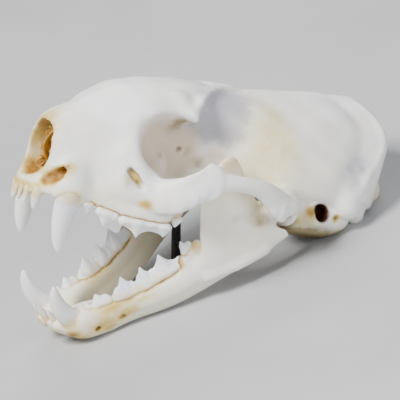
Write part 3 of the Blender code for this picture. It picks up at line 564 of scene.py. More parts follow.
# %% Bars of the cranium. Cheekbone: y, x, z, half height, half thickness
CHEEKBONE_LINE = (
    (18.2, 9.6, 3.4, 3.2, 1.8), (20.6, 13.2, 3.3, 3, 1.4), (22.6, 15.5, 4.3, 3, 1.1),
    (24.3, 16.7, 5.9, 2.8, 0.95), (25.9, 17.4, 7.2, 3.6, 0.8), (27.6, 17.8, 7.5, 2.3, 0.85),
    (30.5, 18.2, 7.5, 1.5, 0.9), (34, 18.4, 7.3, 1.4, 0.95), (37, 18.3, 6.6, 1.7, 1),
    (39.4, 18, 5.3, 2.1, 1), (41.6, 17.4, 3.9, 2.4, 1), (43.2, 16.2, 3.3, 2.3, 1.3),
    (44.7, 12.5, 3.8, 2.2, 1.6),
)
# The rim of the cheek teeth: y, x, z, radius
UPPER_RIM = (
    (5.5, 6, 1.6, 1.5), (9.3, 6.6, 1.2, 1.1), (13, 7.9, 0.6, 1.2), (16.5, 9.7, -0.1, 1.3),
    (20, 11.1, -0.4, 1.35), (23.4, 11.4, -0.2, 1.45), (25.6, 9.8, 0.6, 1.5),
)
# The plate behind the palate: y, x, top, bottom, half thickness
PTERYGOID = (
    (28.5, 3.1, 3.4, 0.9, 0.6), (33, 3.3, 5, 0.4, 0.5), (38, 3.7, 5.4, 0.3, 0.45),
    (41, 4.1, 5, -0.5, 0.4), (43.4, 4.4, 1.2, -1.5, 0.35),
)
# The crest on the roof: y, z, radius
SAGITTAL_CREST = (
    (35, 19.6, 0.5), (44, 19.5, 0.7), (56, 19.8, 0.8), (62, 19.2, 0.9), (66.8, 17.6, 0.9),
)
# The line where the temple muscle ends, and the brow's edge: x, y, z
TEMPLE_LINE = (
    (9.4, 26.4, 16.6), (7.6, 28.4, 18.6), (4.6, 31.4, 19.9), (1.6, 35, 20.1), (0, 38, 20),
)
BROW_LINE = (
    (5.8, 24.9, 18.4), (8.3, 25.7, 17), (9.9, 26.3, 15.6),
)
BROW_RADII = ((2.0, 1.4, 0.4), (1.3, 0.9, 0.4))


def add_bars(block):
    """Melts every bar of the cranium into the block."""
    y, x, z, height, thick = along(CHEEKBONE_LINE, 1.3)
    add(block, bar(np.column_stack([x, y, z]), thick, height), 0.9)
    y, x, z, radius = along(UPPER_RIM, 2.0)
    add(block, bar(np.column_stack([x, y, z]), radius, radius), 1.0)
    y, x, top, bottom, thick = along(PTERYGOID, 2.0)
    middle = np.column_stack([x, y, (top + bottom) / 2])
    add(block, bar(middle, thick, (top - bottom) / 2), 0.7)
    y, z, radius = along(SAGITTAL_CREST, 3.0)
    add(block, bar(np.column_stack([0 * y, y, z]), radius, radius), 1.6)
    add(block, bar(BROW_LINE, *BROW_RADII), 1.0)
    add(block, bar(TEMPLE_LINE, 0.35, 0.35), 1.8)


print("cheekbone", len(CHEEKBONE_LINE), "stations, tooth rim", len(UPPER_RIM))

# %% Balls of the cranium, each melted in: centre, radii, turn, tip, softness
SWELLINGS = {
    "canine root": ((5.75, 7.7, 2.9), (2.2, 2.9, 4.3), 0.0, 0.25, 1.6),
    "jaw socket's roof": ((13.0, 43.4, 4.2), (5.2, 3.2, 2.3), 0.0, 0.0, 1.0),
    "jaw socket's lip": ((12.6, 45.2, 2.2), (3.9, 0.95, 2.4), 0.0, -0.15, 0.6),
    "mastoid": ((13.6, 56.6, 4.2), (2.2, 2.4, 2.4), 0.0, 0.0, 1.4),
    "skull base": ((0.0, 56.0, 3.8), (5.2, 9.5, 1.8), 0.0, 0.0, 1.0),
    "point beside the nape": ((10.6, 60.4, 3.2), (1.9, 1.6, 3.2), 0.0, 0.2, 1.0),
    "condyle": ((5.6, 65.4, 5.8), (2.5, 2.2, 2.8), -0.35, 0.35, 0.7),
    "ear bulla": ((9.4, 51.7, 1.5), (4.9, 7.7, 4.1), math.radians(-11.0), 0.0, 0.5),
    "ear tube": ((12.0, 50.8, 2.0), (3.8, 2.7, 2.3), 0.0, 0.0, 0.7),
}
print(len(SWELLINGS), "swellings:", ", ".join(SWELLINGS))

# %% [markdown]
# ## Hollows of the cranium
# The orbit, the nose, the ear holes, the foramina that let nerves through and the hole for
# the spinal cord are carved last, with harder edges, as on the bone.

# %% Carving: the kind of each hollow, its place and radii, and its softness
CHEEK_FORAMEN = ((11.0, 14.9, 6.8), (11.6, 16.0, 5.8), (12.0, 17.2, 4.5))
SIDE_PIT = ((4.9, 2.9, 3.1), (5.5, 4.6, 4.1), (6.0, 6.3, 5.3))
NOSE_CORNERS = ((0, -3.0, 9.8), (0, 3.6, 10.2), (0, 7.5, 10.2))
EAR_HOLE = ((12.1, 51.35, 2.65), (18.1, 51.35, 2.75))
# The nose's opening: y, z, half width, half height
NOSE_OPENING = (
    (-3, 6.9, 3.8, 4.4), (1, 7.1, 3.8, 4.4), (4, 7.6, 3.6, 4.5), (7, 8.2, 3, 4),
    (10.5, 9, 2.4, 3),
)

y, z, wide, tall = along(NOSE_OPENING, 1.5)
HOLLOWS = {
    "orbit": (ball, (13.3, 21.9, 12.8), (5.8, 7.2, 6.0), 0.3),
    "orbit's inner wall": (ball, (10.6, 22.6, 11.4), (4.2, 5.6, 4.8), 0.6),
    "nose": (bar, np.column_stack([0 * y, y, z]), wide, tall, 0.35),
    "nose's upper corners": (bar, NOSE_CORNERS, 3.1, 2.1, 0.35),
    "cheek foramen": (bar, CHEEK_FORAMEN, 1.5, 0.6, 0.3),
    "pit beside the nose": (bar, SIDE_PIT, 0.95, 0.95, 0.4),
    "slit in the palate": (ball, (1.4, 6.6, 0.2), (0.7, 2.0, 1.4), 0.4),
    "hollow behind the palate": (ball, (0.0, 36.5, 1.2), (2.7, 7.0, 2.6), 0.6),
    "jaw socket": (bar, ((7.4, *CRANIUM_HINGE), (15.6, *CRANIUM_HINGE)), 2.05, 2.05, 0.4),
    "spinal hole": (ball, (0.0, 65.9, 8.4), (4.3, 3.9, 3.2), 0.4),
    "ear hole": (bar, EAR_HOLE, 1.5, 1.3, 0.25),
    "hole behind the ear": (ball, (14.6, 54.7, 2.0), (0.9, 0.6, 0.5), 0.2),
    "tear hole": (ball, (7.4, 22.6, 9.2), (1.4, 0.6, 0.5), 0.3),
    "nerve hole in the orbit": (ball, (5.5, 27.0, 10.0), (1.4, 0.6, 0.5), 0.3),
    "nerve hole below": (ball, (7.4, 39.8, 4.0), (1.4, 0.6, 0.5), 0.3),
}

print(len(HOLLOWS), "hollows:", ", ".join(HOLLOWS))

# %% The cranium, from clay to a mesh
cranium_block = new_block(CRANIUM_LOW, CRANIUM_HIGH, CRANIUM_STEP)
cranium_block["field"] = body_distance(cranium_block)
cut_ends(cranium_block)
add_bars(cranium_block)
for *form, softness in SWELLINGS.values():
    add(cranium_block, ball(*form), softness)
for kind, *form, softness in HOLLOWS.values():
    carve(cranium_block, kind(*form), softness)
cranium_points, cranium_faces = largest(*net(mirrored(cranium_block)))
cranium_points = relax(cranium_points, cranium_faces)
print("cranium", 2 * len(cranium_faces), "triangles")

# %% [markdown]
# ## The cranium's stains and painted shade
# The places are read off the animal's own frame: amber in the nose and in the pit beside it,
# at the cheek's foramen and along the cheek teeth, a blue-grey shade where the bone behind
# the brow is thin, cream behind it. Painted shade, dark brown, lies in the ear hole and the
# other holes and under the bulla, and olive in the orbit's upper corner.

# %% Masks of the cranium: centre, radii and strength of each spot
CRANIUM_STAINS_AND_SHADE = {
    "amber": (
        ((0.8, 5.5, 8.2), (2.6, 3.4, 4.6), 1.2), ((0, 3.6, 4), (3.2, 2.2, 2), 1.4),
        ((12.4, 18.4, 1.6), (1.2, 1.7, 1), 0.6), ((9.2, 16.6, 1.2), (1.4, 2, 0.8), 0.25),
        ((1.6, 0.9, 1.2), (2.8, 1.6, 1), 0.5), ((14.6, 54.7, 2), (1, 0.8, 0.7), 1),
        ((14.6, 49.2, 3), (1.4, 0.9, 1.2), 0.8), ((16.8, 43.2, 1.8), (1.3, 1, 1), 0.7),
        ((10.3, 16.5, 5.1), (0.95, 1.6, 1.6), 0.6), ((7.4, 22.6, 9.2), (0.8, 0.6, 0.5), 0.7),
        ((8, 39.6, 3.4), (1.6, 1.5, 1), 0.7), ((7.6, 13.2, 4), (1.4, 1.6, 1), 0.3),
        ((7.6, 12.4, 4.6), (1.3, 0.8, 1.1), 0.35),
    ),
    "cream_and_shade": (
        ((10.5, 41.5, 12), (5.5, 5, 7.5), 1.1), ((9, 42, 16), (5, 3.6, 5), 0.9),
        ((11.5, 46, 8), (4, 5, 4), 0.5), ((8, 37.5, 8.5), (4, 3, 3), 0.9),
        ((10, 42, 4), (4, 3, 2.4), 0.9), ((8.6, 13, 1.6), (3, 6, 1.8), 0.5),
        ((13.6, 48.6, 1.2), (3, 2.6, 1.6), 1.2), ((4.5, 3, 1.8), (3, 3, 1.4), 0.6),
        ((3.4, 4.4, 8.4), (0.7, 2.6, 3.8), 0.9), ((9.5, 52, -1.6), (5, 8, 2), 0.6),
        ((5.4, 66, 5.4), (3, 3, 3), 1),
    ),
    # Beige in the orbit: partly the walls' own tint, partly painted shade of the deep orbit.
    "beige_and_shade": (
        ((6.5, 21.5, 10), (5, 5.6, 6.6), 1.4), ((5.5, 26.5, 9.4), (3.4, 4.2, 5), 1.4),
        ((6.4, 33.6, 9.6), (3, 3.2, 2.4), 0.7),
    ),
    # Olive: a stain at the cheek's foramen, olive in the orbit's back, and painted shade in the
    # orbit's upper corner and on and before the bulla's underside.
    "olive_and_shade": (
        ((10.5, 16.2, 5.5), (1.3, 1.7, 1.9), 1.3), ((8, 24.9, 14.4), (2.6, 2.2, 2.1), 0.9),
        ((6.2, 28.6, 9.8), (1.2, 1, 1.6), 0.7), ((5.8, 30.9, 8.2), (2.4, 1.4, 1.3), 0.8),
        ((7.4, 25.6, 12.2), (1.4, 1, 2.2), 0.5), ((12.2, 51.5, -1.9), (4.5, 7.8, 2.2), 1.5),
        ((13, 46.4, 0), (3, 1.8, 2), 1),
    ),
    "slate_and_shade": (
        ((6.6, 33.4, 16.6), (6.4, 5.8, 5), 1.7), ((7.4, 29, 14.4), (3.6, 2.6, 3.4), 1.1),
        ((5.4, 35.8, 19), (5, 4.6, 3.4), 1), ((13.4, 57.5, 10.5), (3.5, 4.6, 5), 0.7),
    ),
    # Painted shade, umber: in the ear hole, deep in the nose, in the foramina, the nerve holes and
    # the spinal hole, and on the bulla's underside.
    "painted_shade": (
        ((13, 51.35, 2.7), (3.2, 1.6, 1.4), 2.3), ((0.6, 9.6, 8.2), (3.2, 3.4, 4), 0.8),
        ((10.2, 16.9, 4.9), (0.9, 0.9, 0.9), 0.6), ((14.4, 54.7, 2), (0.9, 0.6, 0.5), 0.9),
        ((12, 46.2, -0.8), (3.4, 2, 1.8), 0.62), ((12, 51.5, -2.1), (3.8, 7, 1.7), 0.62),
        ((0, 62.5, 8), (3.4, 3.2, 2.6), 0.8), ((5.2, 27, 10), (1.2, 0.6, 0.5), 0.8),
        ((7, 39.8, 4), (1.2, 0.7, 0.6), 0.8),
    ),
}
AMBER_PATHS = ((SIDE_PIT, 1.15, 1.5), (CHEEK_FORAMEN, 0.5, 0.3))

cranium_masks = stain_and_shade_masks(cranium_points, CRANIUM_STAINS_AND_SHADE)
for path, width, strength in AMBER_PATHS:
    stain = strength * band(cranium_points, path, width)
    cranium_masks["amber"] = np.maximum(cranium_masks["amber"], stain)
cranium = new_piece(
    "cranium", set_down(cranium_points, CRANIUM_PITCH, CRANIUM_HINGE), cranium_faces, cranium_masks
)
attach(cranium, "root")
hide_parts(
    "face", "braincase", "cheekbone_left", "cheekbone_right", "ear_bulla_left",
    "ear_bulla_right",
)
bones = [cranium]

# %% [markdown]
# ## The lower jaw
# Each half is one bone: a body that is an upright oval all along, a thin blade behind it that
# the temple muscle pulls, a bar across for the joint, and an angle at the rear. The halves
# only touch at the chin, so they stay two pieces.

# %% Tables of the lower jaw. Body: y, centre x, half thickness, top, bottom
LOWER_JAW_SECTIONS = (
    (0.3, 1.7, 1.4, 0, -1.8), (1.6, 2.5, 2.4, 0.2, -3), (4, 3.2, 3.1, 0.4, -4.8),
    (6.6, 3.6, 3.2, 0.3, -5.8), (8.8, 4.6, 2.5, 0.1, -6), (11, 5.6, 2, -0.2, -6),
    (14, 6.7, 1.8, -0.6, -6.35), (17.5, 8, 1.8, -0.7, -6.65), (21, 9.2, 1.8, -0.4, -6.7),
    (24.5, 10.4, 1.8, 0.7, -6.3), (28, 11.5, 1.7, 2, -5.6), (32, 12.6, 1.5, 2, -4.95),
    (36, 13.6, 1.3, 1.6, -4.45), (39.2, 14.3, 1, -0.2, -3.8), (41.1, 14.8, 0.6, -2.1, -3.4),
)
# The blade: height, front, back, centre x, half thickness
CORONOID = (
    (-3, 27, 39.4, 12.8, 1), (0, 26.2, 40, 12.7, 1.1), (3.1, 26.9, 39.4, 12.6, 1),
    (6.5, 28.1, 38.9, 12.7, 0.85), (9.6, 29.6, 38.8, 12.8, 0.75), (12, 31.9, 38.7, 13, 0.65),
    (13.6, 33.9, 38.3, 13.2, 0.55), (14.5, 35.6, 37.6, 13.3, 0.35),
)
JAW_LEAN = ((9.0, 14.0, 24.0, 33.0), (0.0, 1.15, 1.15, 0.0))
JAW_LOW = (0.0, -0.8, -7.0)
JAW_HIGH = (19.4, 44.0, 16.4)
JAW_STEP = 0.27
JAW_RIDGE = ((12.4, 26.0, -3.2), (13.9, 31.0, -3.7), (14.5, 36.5, -3.5))
BEHIND_LAST_TOOTH = ((10.1, 23.4, 0.5), (10.4, 25.0, 1.55), (11.0, 26.8, 2.3))
JAW_SWELLINGS = {
    "joint": (ball, (12.6, *LOWER_JAW_HINGE), (4.0, 1.7, 1.6), 0.5),
    "neck of the joint": (ball, (13.2, 38.8, 0.7), (1.7, 2.7, 1.7), 0.0, 0.2, 1.2),
    "canine root": (ball, (4.4, 5.6, -2.0), (2.1, 3.2, 2.7), 0.0, -0.2, 1.2),
    "ridge": (bar, JAW_RIDGE, 0.5, 0.6, 1.4),
    "behind the last tooth": (bar, BEHIND_LAST_TOOTH, 0.95, 0.95, 0.9),
}
JAW_HOLLOWS = {
    "muscle hollow": (ball, (15.5, 33.2, 5.6), (2.35, 4.6, 7.6), -0.26, 0.9),
    "front chin hole": (ball, (6.2, 6.4, -3.5), (0.9, 0.5, 0.42), 0.35),
    "rear chin hole": (ball, (7.4, 11.0, -3.7), (0.9, 0.5, 0.42), 0.35),
}
print(len(LOWER_JAW_SECTIONS), "stations of the body,", len(CORONOID), "of the blade")

# %% The distance to the body and to the blade
BODY_POWER = 2.3
BODY_FLARE = 0.14
RISE_LIMIT = 1.2
BLADE_POWER = 2.6


def jaw_body(x, y, z):
    """Distance to a rounded upright section that changes along Y: the point over the half
    sizes, each to a power, less one, times the smaller half size. Its lower part leans."""
    rows = table(LOWER_JAW_SECTIONS, y.ravel())
    centre, half, top, bottom = (part[None, :, None] for part in rows)
    tall = (top - bottom) / 2
    rise = (z - (top + bottom) / 2) / tall
    centre = centre + np.interp(y, *JAW_LEAN) * np.clip(rise, -RISE_LIMIT, 0.0)
    wide = half * (1.0 + BODY_FLARE * np.clip(rise, -RISE_LIMIT, RISE_LIMIT))
    k = np.abs((x - centre) / wide) ** BODY_POWER + np.abs(rise) ** BODY_POWER
    field = (k ** (1 / BODY_POWER) - 1.0) * np.minimum(half, tall)
    first, last = LOWER_JAW_SECTIONS[0][0], LOWER_JAW_SECTIONS[-1][0]
    return np.maximum(np.maximum(field, first - y), y - last)


def jaw_blade(x, y, z):
    """Distance to a level lens-shaped section that changes with height."""
    front, back, centre, thick = (part[None, None, :] for part in table(CORONOID, z.ravel()))
    place = (y - (front + back) / 2) / ((back - front) / 2)
    k = np.sqrt(np.abs(place) ** BLADE_POWER + ((x - centre) / thick) ** 2)
    field = (k - 1.0) * thick
    return np.maximum(np.maximum(field, CORONOID[0][0] - z), z - CORONOID[-1][0])


print("the lower border leans in by", max(JAW_LEAN[1]), "mm")

# %% Half a lower jaw, from clay to a mesh
BLADE_SOFT = 1.3
CHIN_SOFT = 0.25

jaw_block = new_block(JAW_LOW, JAW_HIGH, JAW_STEP)
place = window(jaw_block)[1]
jaw_parts = [even_out(part(*place), JAW_STEP) for part in (jaw_body, jaw_blade)]
jaw_block["field"] = soft_least(*jaw_parts, BLADE_SOFT)
for kind, *form, softness in JAW_SWELLINGS.values():
    add(jaw_block, kind(*form), softness)
for kind, *form, softness in JAW_HOLLOWS.values():
    carve(jaw_block, kind(*form), softness)
jaw_block["field"] = -soft_least(-jaw_block["field"], place[0] - GAP / 2, CHIN_SOFT)
jaw_points, jaw_faces = largest(*net(jaw_block))
jaw_points = relax(jaw_points, jaw_faces)
jaw_points[:, 0] = np.maximum(jaw_points[:, 0], GAP / 2)
print("half a lower jaw", 2 * len(jaw_faces), "triangles")

# %% Masks of the lower jaw. Its inner side is painted cream and beige all over, as shade
LOWER_STAINS_AND_SHADE = {
    "amber": (
        ((6.3, 6.4, -3.5), (0.9, 0.9, 0.7), 0.9), ((7.5, 11, -3.7), (0.9, 1.3, 0.7), 0.8),
        ((2, 1.6, -1.6), (2.4, 1.8, 1.4), 0.5), ((5, 2.6, -2.8), (1.8, 1.6, 1.1), 0.8),
        ((7.6, 12, -3.1), (1.4, 2.4, 1.1), 0.54), ((6.4, 8.6, -4.4), (1.6, 1.8, 0.9), 0.6),
        ((6.6, 8.5, -3.2), (3, 5, 2.2), 0.42), ((4.6, 3.6, -4), (2.4, 2.4, 1.4), 0.55),
        ((12.4, 25.9, 3.8), (1.4, 1, 2.2), 0.9), ((6.6, 11, -1.4), (2.2, 4.4, 1), 0.52),
        ((8.4, 16, -2), (1.8, 3.4, 0.8), 0.35),
    ),
    "cream_and_shade": (
        ((6.5, 10, -2.4), (3.5, 9, 2.6), 0.7), ((9.5, 20, -3), (2, 8, 3), 0.4),
        ((12.6, 34, 11), (2.5, 5, 5), 0.3), ((13.3, 36.6, 13.6), (2, 4, 2.6), 0.9),
        ((3, 3, -3), (3, 4, 2), 0.7), ((5.4, 16, -2), (1.6, 10, 4), 0.9),
    ),
    # Painted shade: at the jaw joint, and on the blade's tip behind the cheekbone.
    "olive_and_shade": (
        ((14.8, 37.8, 2.2), (3, 2.2, 2.3), 0.85), ((13.3, 36.8, 13.8), (2, 3, 2.4), 0.3),
    ),
    # Painted shade: grey in the muscle hollow.
    "slate_and_shade": (
        ((14, 33.6, 3.4), (2.5, 4.2, 1.6), 0.55),
    ),
    # Painted shade inside the two chin holes.
    "painted_shade": (
        ((6.3, 6.4, -3.5), (0.9, 0.5, 0.45), 1), ((7.4, 11, -3.7), (0.9, 0.6, 0.45), 1),
    ),
}
# Painted shade: the inner side gets cream and beige by how far in a point lies, as the side turned
# from the light.
INNER_SHADE_CREAM = 0.5
INNER_SHADE_BEIGE = 0.45

jaw_masks = stain_and_shade_masks(jaw_points, LOWER_STAINS_AND_SHADE)
centre, half = table(LOWER_JAW_SECTIONS, jaw_points[:, 1])[:2]
inner = np.clip((centre - jaw_points[:, 0]) / half, 0.0, 1.0)
jaw_masks["cream_and_shade"] = np.maximum(jaw_masks["cream_and_shade"], INNER_SHADE_CREAM * inner)
jaw_masks["beige_and_shade"] = INNER_SHADE_BEIGE * inner


def lower_piece(name, side, points, faces, masks):
    """A piece of the lower jaw from the left half's points, mirrored if the side is -1."""
    placed = set_down(points * (side, 1.0, 1.0), LOWER_JAW_PITCH, LOWER_JAW_HINGE)
    return new_piece(name, placed, faces[:, ::side], masks)


for side, word in ((1, "left"), (-1, "right")):
    jaw = lower_piece("lower_jaw_bone_" + word, side, jaw_points, jaw_faces, jaw_masks)
    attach(jaw, "root")
    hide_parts("lower_jaw_" + word)
    bones.append(jaw)

# %% [markdown]
# ## Teeth
# A polecat's teeth are blades and points. Each cheek tooth is a low crown with cones melted
# onto it for its cusps, on a grid of its own that is finer than the bone's. Canines and
# incisors are ovals carried along a bowed path, which keeps them smooth and slender.

# %% Cheek teeth: front and back of the base, width, then cusps as place, across, height, radius
UPPER_CHEEK_TEETH = (
    ((7.3, 9.3, 0), (7.7, 11.1, -0.3), 1.3, ((0.5, 0, 1.5, 0.95),)),
    ((7.9, 11.6, -0.8), (9.3, 15.2, -1.5), 1.7, ((0.44, 0, 2.2, 1.4), (0.85, 0, 0.6, 0.6))),
    ((9.8, 15.4, -1.75), (12.3, 23.7, -2.05), 2.1, (
        (0.05, 0, 0.5, 0.6), (0.36, 0.1, 2.45, 1.7), (0.62, 0.1, 0.9, 1.3),
        (0.89, 0.1, 1.65, 1.3),
    )),
    ((12.7, 24.5, -0.6), (7.5, 26, 0), 2.3, (
        (0.1, 0, 1.2, 1.1), (0.45, 0, 0.6, 1.1), (0.8, 0, 0.7, 1.3),
    )),
)
LOWER_CHEEK_TEETH = (
    ((4.9, 5.9, -0.1), (5.3, 7.3, -0.1), 1.3, ((0.5, 0, 1.3, 0.85),)),
    ((5.4, 7.6, -0.1), (6.1, 10.8, -0.4), 1.6, ((0.3, 0, 1.9, 1.3), (0.75, 0, 1.2, 1.1))),
    ((6.2, 11.2, -0.5), (7.3, 15.5, -0.8), 1.9, (
        (0.2, 0, 1.6, 1.3), (0.52, 0, 3.2, 1.9), (0.85, 0, 1.8, 1.2),
    )),
    ((7.4, 15.7, -0.8), (9.9, 23.9, 0.5), 2.2, (
        (0.05, 0, 2.2, 1.1), (0.15, 0, 3.3, 1.7), (0.34, 0, 1.9, 1.5), (0.58, 0, 3.5, 2.1),
        (0.78, -0.1, 1.3, 1.2), (0.93, 0, 1.2, 0.9),
    )),
    ((10.2, 24.1, 1.9), (10.6, 25.9, 2.3), 1.2, ((0.22, 0, 2.1, 0.62), (0.85, 0, 1.3, 0.5))),
)
TOOTH_STEP = 0.13
UPPER_BLOCK = ((5.5, 7.8, -6.0), (15.0, 28.5, 2.6))
LOWER_BLOCK = ((3.6, 4.6, -3.0), (12.6, 28.0, 6.4))
UPPER_CROWN = 0.78
LOWER_CROWN = 0.85
print(len(UPPER_CHEEK_TEETH), "and", len(LOWER_CHEEK_TEETH), "cheek teeth a side")

# %% A cheek tooth
CROWN_SHARE = 0.38
CROWN_INSET = 0.8
MOST_INSET = 0.4
EDGE_SHARE = 0.6
EDGE_THICK = 0.3
EDGE_TALL = 0.5
CROWN_SOFT = 0.3
EDGE_SOFT = 0.6
CUSP_SOFT = 0.35
CUSP_SPREAD = 0.12


def add_cheek_tooth(block, tooth, up, crown):
    """A crown as a low bar along the base, an edge from cusp to cusp, and a cone for each."""
    front, back, width, cusps = tooth
    front, back = np.asarray(front), np.asarray(back)
    reach = back - front
    length = np.hypot(reach[0], reach[1])
    heading = reach[:2] / length
    tall = min(crown, CROWN_SHARE * length)
    inset = reach * min(CROWN_INSET * tall / length, MOST_INSET)
    add(block, bar((front + inset, back - inset), width / 2, tall), CROWN_SOFT)
    edge = [front + reach * cusp[0] + (0.0, 0.0, up * EDGE_SHARE * cusp[2]) for cusp in cusps]
    if len(edge) > 1:
        add(block, bar(edge, EDGE_THICK, EDGE_TALL), EDGE_SOFT)
    for place, across, height, radius in cusps:
        base = front + reach * place + np.array((heading[1], -heading[0], 0.0)) * across
        flat = min(1.0, 0.5 * width / radius + CUSP_SPREAD)
        add(block, cone(base, base + (0.0, 0.0, up * height), radius, flat, heading), CUSP_SOFT)


def cheek_teeth(box, teeth, up, crown):
    """The left row of cheek teeth as one surface."""
    block = new_block(*box, TOOTH_STEP)
    for tooth in teeth:
        add_cheek_tooth(block, tooth, up, crown)
    return net(block)


upper_cheeks = cheek_teeth(UPPER_BLOCK, UPPER_CHEEK_TEETH, -1.0, UPPER_CROWN)
lower_cheeks = cheek_teeth(LOWER_BLOCK, LOWER_CHEEK_TEETH, 1.0, LOWER_CROWN)
print("cheek teeth", len(upper_cheeks[1]), "and", len(lower_cheeks[1]), "squares a side")

# %% Pointed teeth: base, tip, radius along the jaw, radius across, root depth, bow along Y
UPPER_POINTS = (
    ((0.75, 1.1, 0.8), (0.8, 0.5, -1.5), 0.65, 0.5, 1, 0),
    ((2, 1.4, 0.8), (2.15, 0.9, -1.8), 0.7, 0.58, 1, 0),
    ((3.5, 2.5, 0.8), (3.7, 2.1, -2.4), 1, 0.85, 1.2, -0.1),
    ((6.5, 7, 1.2), (6.7, 6.7, -8.9), 2.35, 1.65, 2.2, -0.7),
)
LOWER_POINTS = (
    ((0.6, 1, -0.5), (0.65, 0.4, 1.8), 0.5, 0.36, 0.8, 0),
    ((1.4, 1.5, -0.5), (1.5, 0.9, 2), 0.6, 0.48, 0.8, 0),
    ((2.5, 1.3, -0.4), (2.7, 0.7, 2.3), 0.68, 0.52, 0.8, 0),
    ((4.5, 3.6, -0.8), (5.5, 2.4, 7.1), 1.9, 1.45, 2, -1),
)
print(len(UPPER_POINTS), "and", len(LOWER_POINTS), "pointed teeth a side")

# %% Rings, and the skin over them


def ovals(path, level, upright, wide, tall, around):
    """Rings round a path. At each angle a point stands off by the cosine times wide in one
    direction, and by the sine times tall in the other."""
    angle = 2 * np.pi * np.arange(around) / around
    level, upright = (np.broadcast_to(way, path.shape)[:, None] for way in (level, upright))
    aside = (wide[:, None] * np.cos(angle))[..., None] * level
    return path[:, None] + aside + (tall[:, None] * np.sin(angle))[..., None] * upright


def closed_skin(rings):
    """Squares between rings of points, with a lid of thin squares at each end."""
    count, around = rings.shape[:2]
    ring = np.arange(count - 1)[:, None] * around
    turn = np.arange(around)
    a, b = ring + turn, ring + (turn + 1) % around
    faces = np.stack([a, b, b + around, a + around], axis=-1).reshape(-1, 4)
    points = rings.reshape(-1, 3)
    left = turn[: around // 2 - 1]
    right = around - 1 - left
    lid = np.stack([left, right, right - 1, left + 1], axis=-1)
    faces = np.concatenate([faces, lid, (count - 1) * around + lid[:, ::-1]])
    volume = sum(np.linalg.det(points[faces[:, part]]).sum() for part in ([0, 1, 2], [0, 2, 3]))
    return points, faces if volume > 0 else faces[:, ::-1]


drum = ovals(np.array(((0, 0, 0), (0, 0, 1))), (1, 0, 0), (0, 1, 0), np.ones(2), np.ones(2), 8)
print("a drum with 8 corners has", len(closed_skin(drum)[1]), "squares")

# %% A pointed tooth
TIP_SHARE = 0.47
AROUND = 40
SHAFT_RINGS = 34
POINT_RINGS = 10
POINT_LENGTH = 0.1
ROOT_SHRINK = 0.6


def pointed_tooth(base, tip, long_radius, cross_radius, root, bow):
    """Ovals along a bowed axis. With the height t their size falls to TIP_SHARE of the base,
    times the root of 1 - t to the sixth, which rounds the point; below the gum it falls too."""
    base, tip = np.array(base), np.array(tip)
    length = np.linalg.norm(tip - base)
    shaft = np.linspace(-root / length, 1 - POINT_LENGTH, SHAFT_RINGS)
    point = 1 - POINT_LENGTH * np.linspace(0.9, 0, POINT_RINGS) ** 2
    t = np.concatenate([shaft, point])
    rise = np.clip(t, 0.0, 1.0)
    path = base + t[:, None] * (tip - base)
    path[:, 1] += bow * 4 * rise * (1 - rise)
    ahead = np.gradient(path, axis=0)
    ahead /= np.linalg.norm(ahead, axis=1, keepdims=True)
    level = np.cross(ahead, (0.0, 1.0, 0.0))
    level /= np.linalg.norm(level, axis=1, keepdims=True)
    taper = (1 - (1 - TIP_SHARE) * rise) * np.sqrt(1 - np.minimum(rise, 0.9999) ** 6)
    taper *= 1 - ROOT_SHRINK * (t < 0) * np.abs(t * length / root) ** 1.3
    sizes = (cross_radius * taper, long_radius * taper)
    return closed_skin(ovals(path, level, np.cross(level, ahead), *sizes, AROUND))


print("the upper canine has", len(pointed_tooth(*UPPER_POINTS[-1])[0]), "points")

# %% Rows of teeth
UPPER_GUM = 0.0
LOWER_GUM = -0.2
NECK_HEIGHT = 1.1
FRONT_TEETH = (1.0, 2.2)


def gather(parts):
    """Several point and face arrays as one."""
    points, faces = zip(*parts)
    starts = np.cumsum([0] + [len(part) for part in points[:-1]])
    return np.concatenate(points), np.concatenate([f + s for f, s in zip(faces, starts)])


def both_sides(points, faces):
    """A left half and its mirror image."""
    return [(points, faces), (points * (-1.0, 1.0, 1.0), faces[:, ::-1])]


def tooth_masks(points, gum_height, up):
    """How near a point is to the gum, where the enamel is yellower, and how far in front."""
    height = up * (points[:, 2] - gum_height)
    front = np.exp(-((points[:, 1] - FRONT_TEETH[0]) / FRONT_TEETH[1]) ** 2)
    return {"neck": np.exp(-np.clip(height, 0, None) / NECK_HEIGHT), "front": front}


upper_row, upper_faces = gather(
    both_sides(*gather([pointed_tooth(*spec) for spec in UPPER_POINTS] + [upper_cheeks]))
)
upper_teeth = new_piece(
    "upper_teeth", set_down(upper_row, CRANIUM_PITCH, CRANIUM_HINGE), upper_faces,
    tooth_masks(upper_row, UPPER_GUM, -1.0),
)
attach(upper_teeth, "root")
teeth = [upper_teeth]
lower_row, lower_faces = gather([pointed_tooth(*spec) for spec in LOWER_POINTS] + [lower_cheeks])
lower_masks = tooth_masks(lower_row, LOWER_GUM, 1.0)
for side, word in ((1, "left"), (-1, "right")):
    row = lower_piece("lower_teeth_" + word, side, lower_row, lower_faces, lower_masks)
    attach(row, "root")
    teeth.append(row)

# %% [markdown]
# ## The line along the teeth
# Where bone ends at a tooth, a thin line stays brown. Its mask is a bell curve of each bone
# point's distance to the nearest point of a tooth.

# %% Brown beside the teeth
GUM_WIDTH = 0.38
GUM_SPAN = (-2.6, 2.6)
GUM_BACK = 28.0
GUM_STRENGTH = ((3.0, 6.0, 9.5, 12.0, 23.4, 24.6), (0.45, 0.3, 0.5, 1.0, 1.0, 0.35))


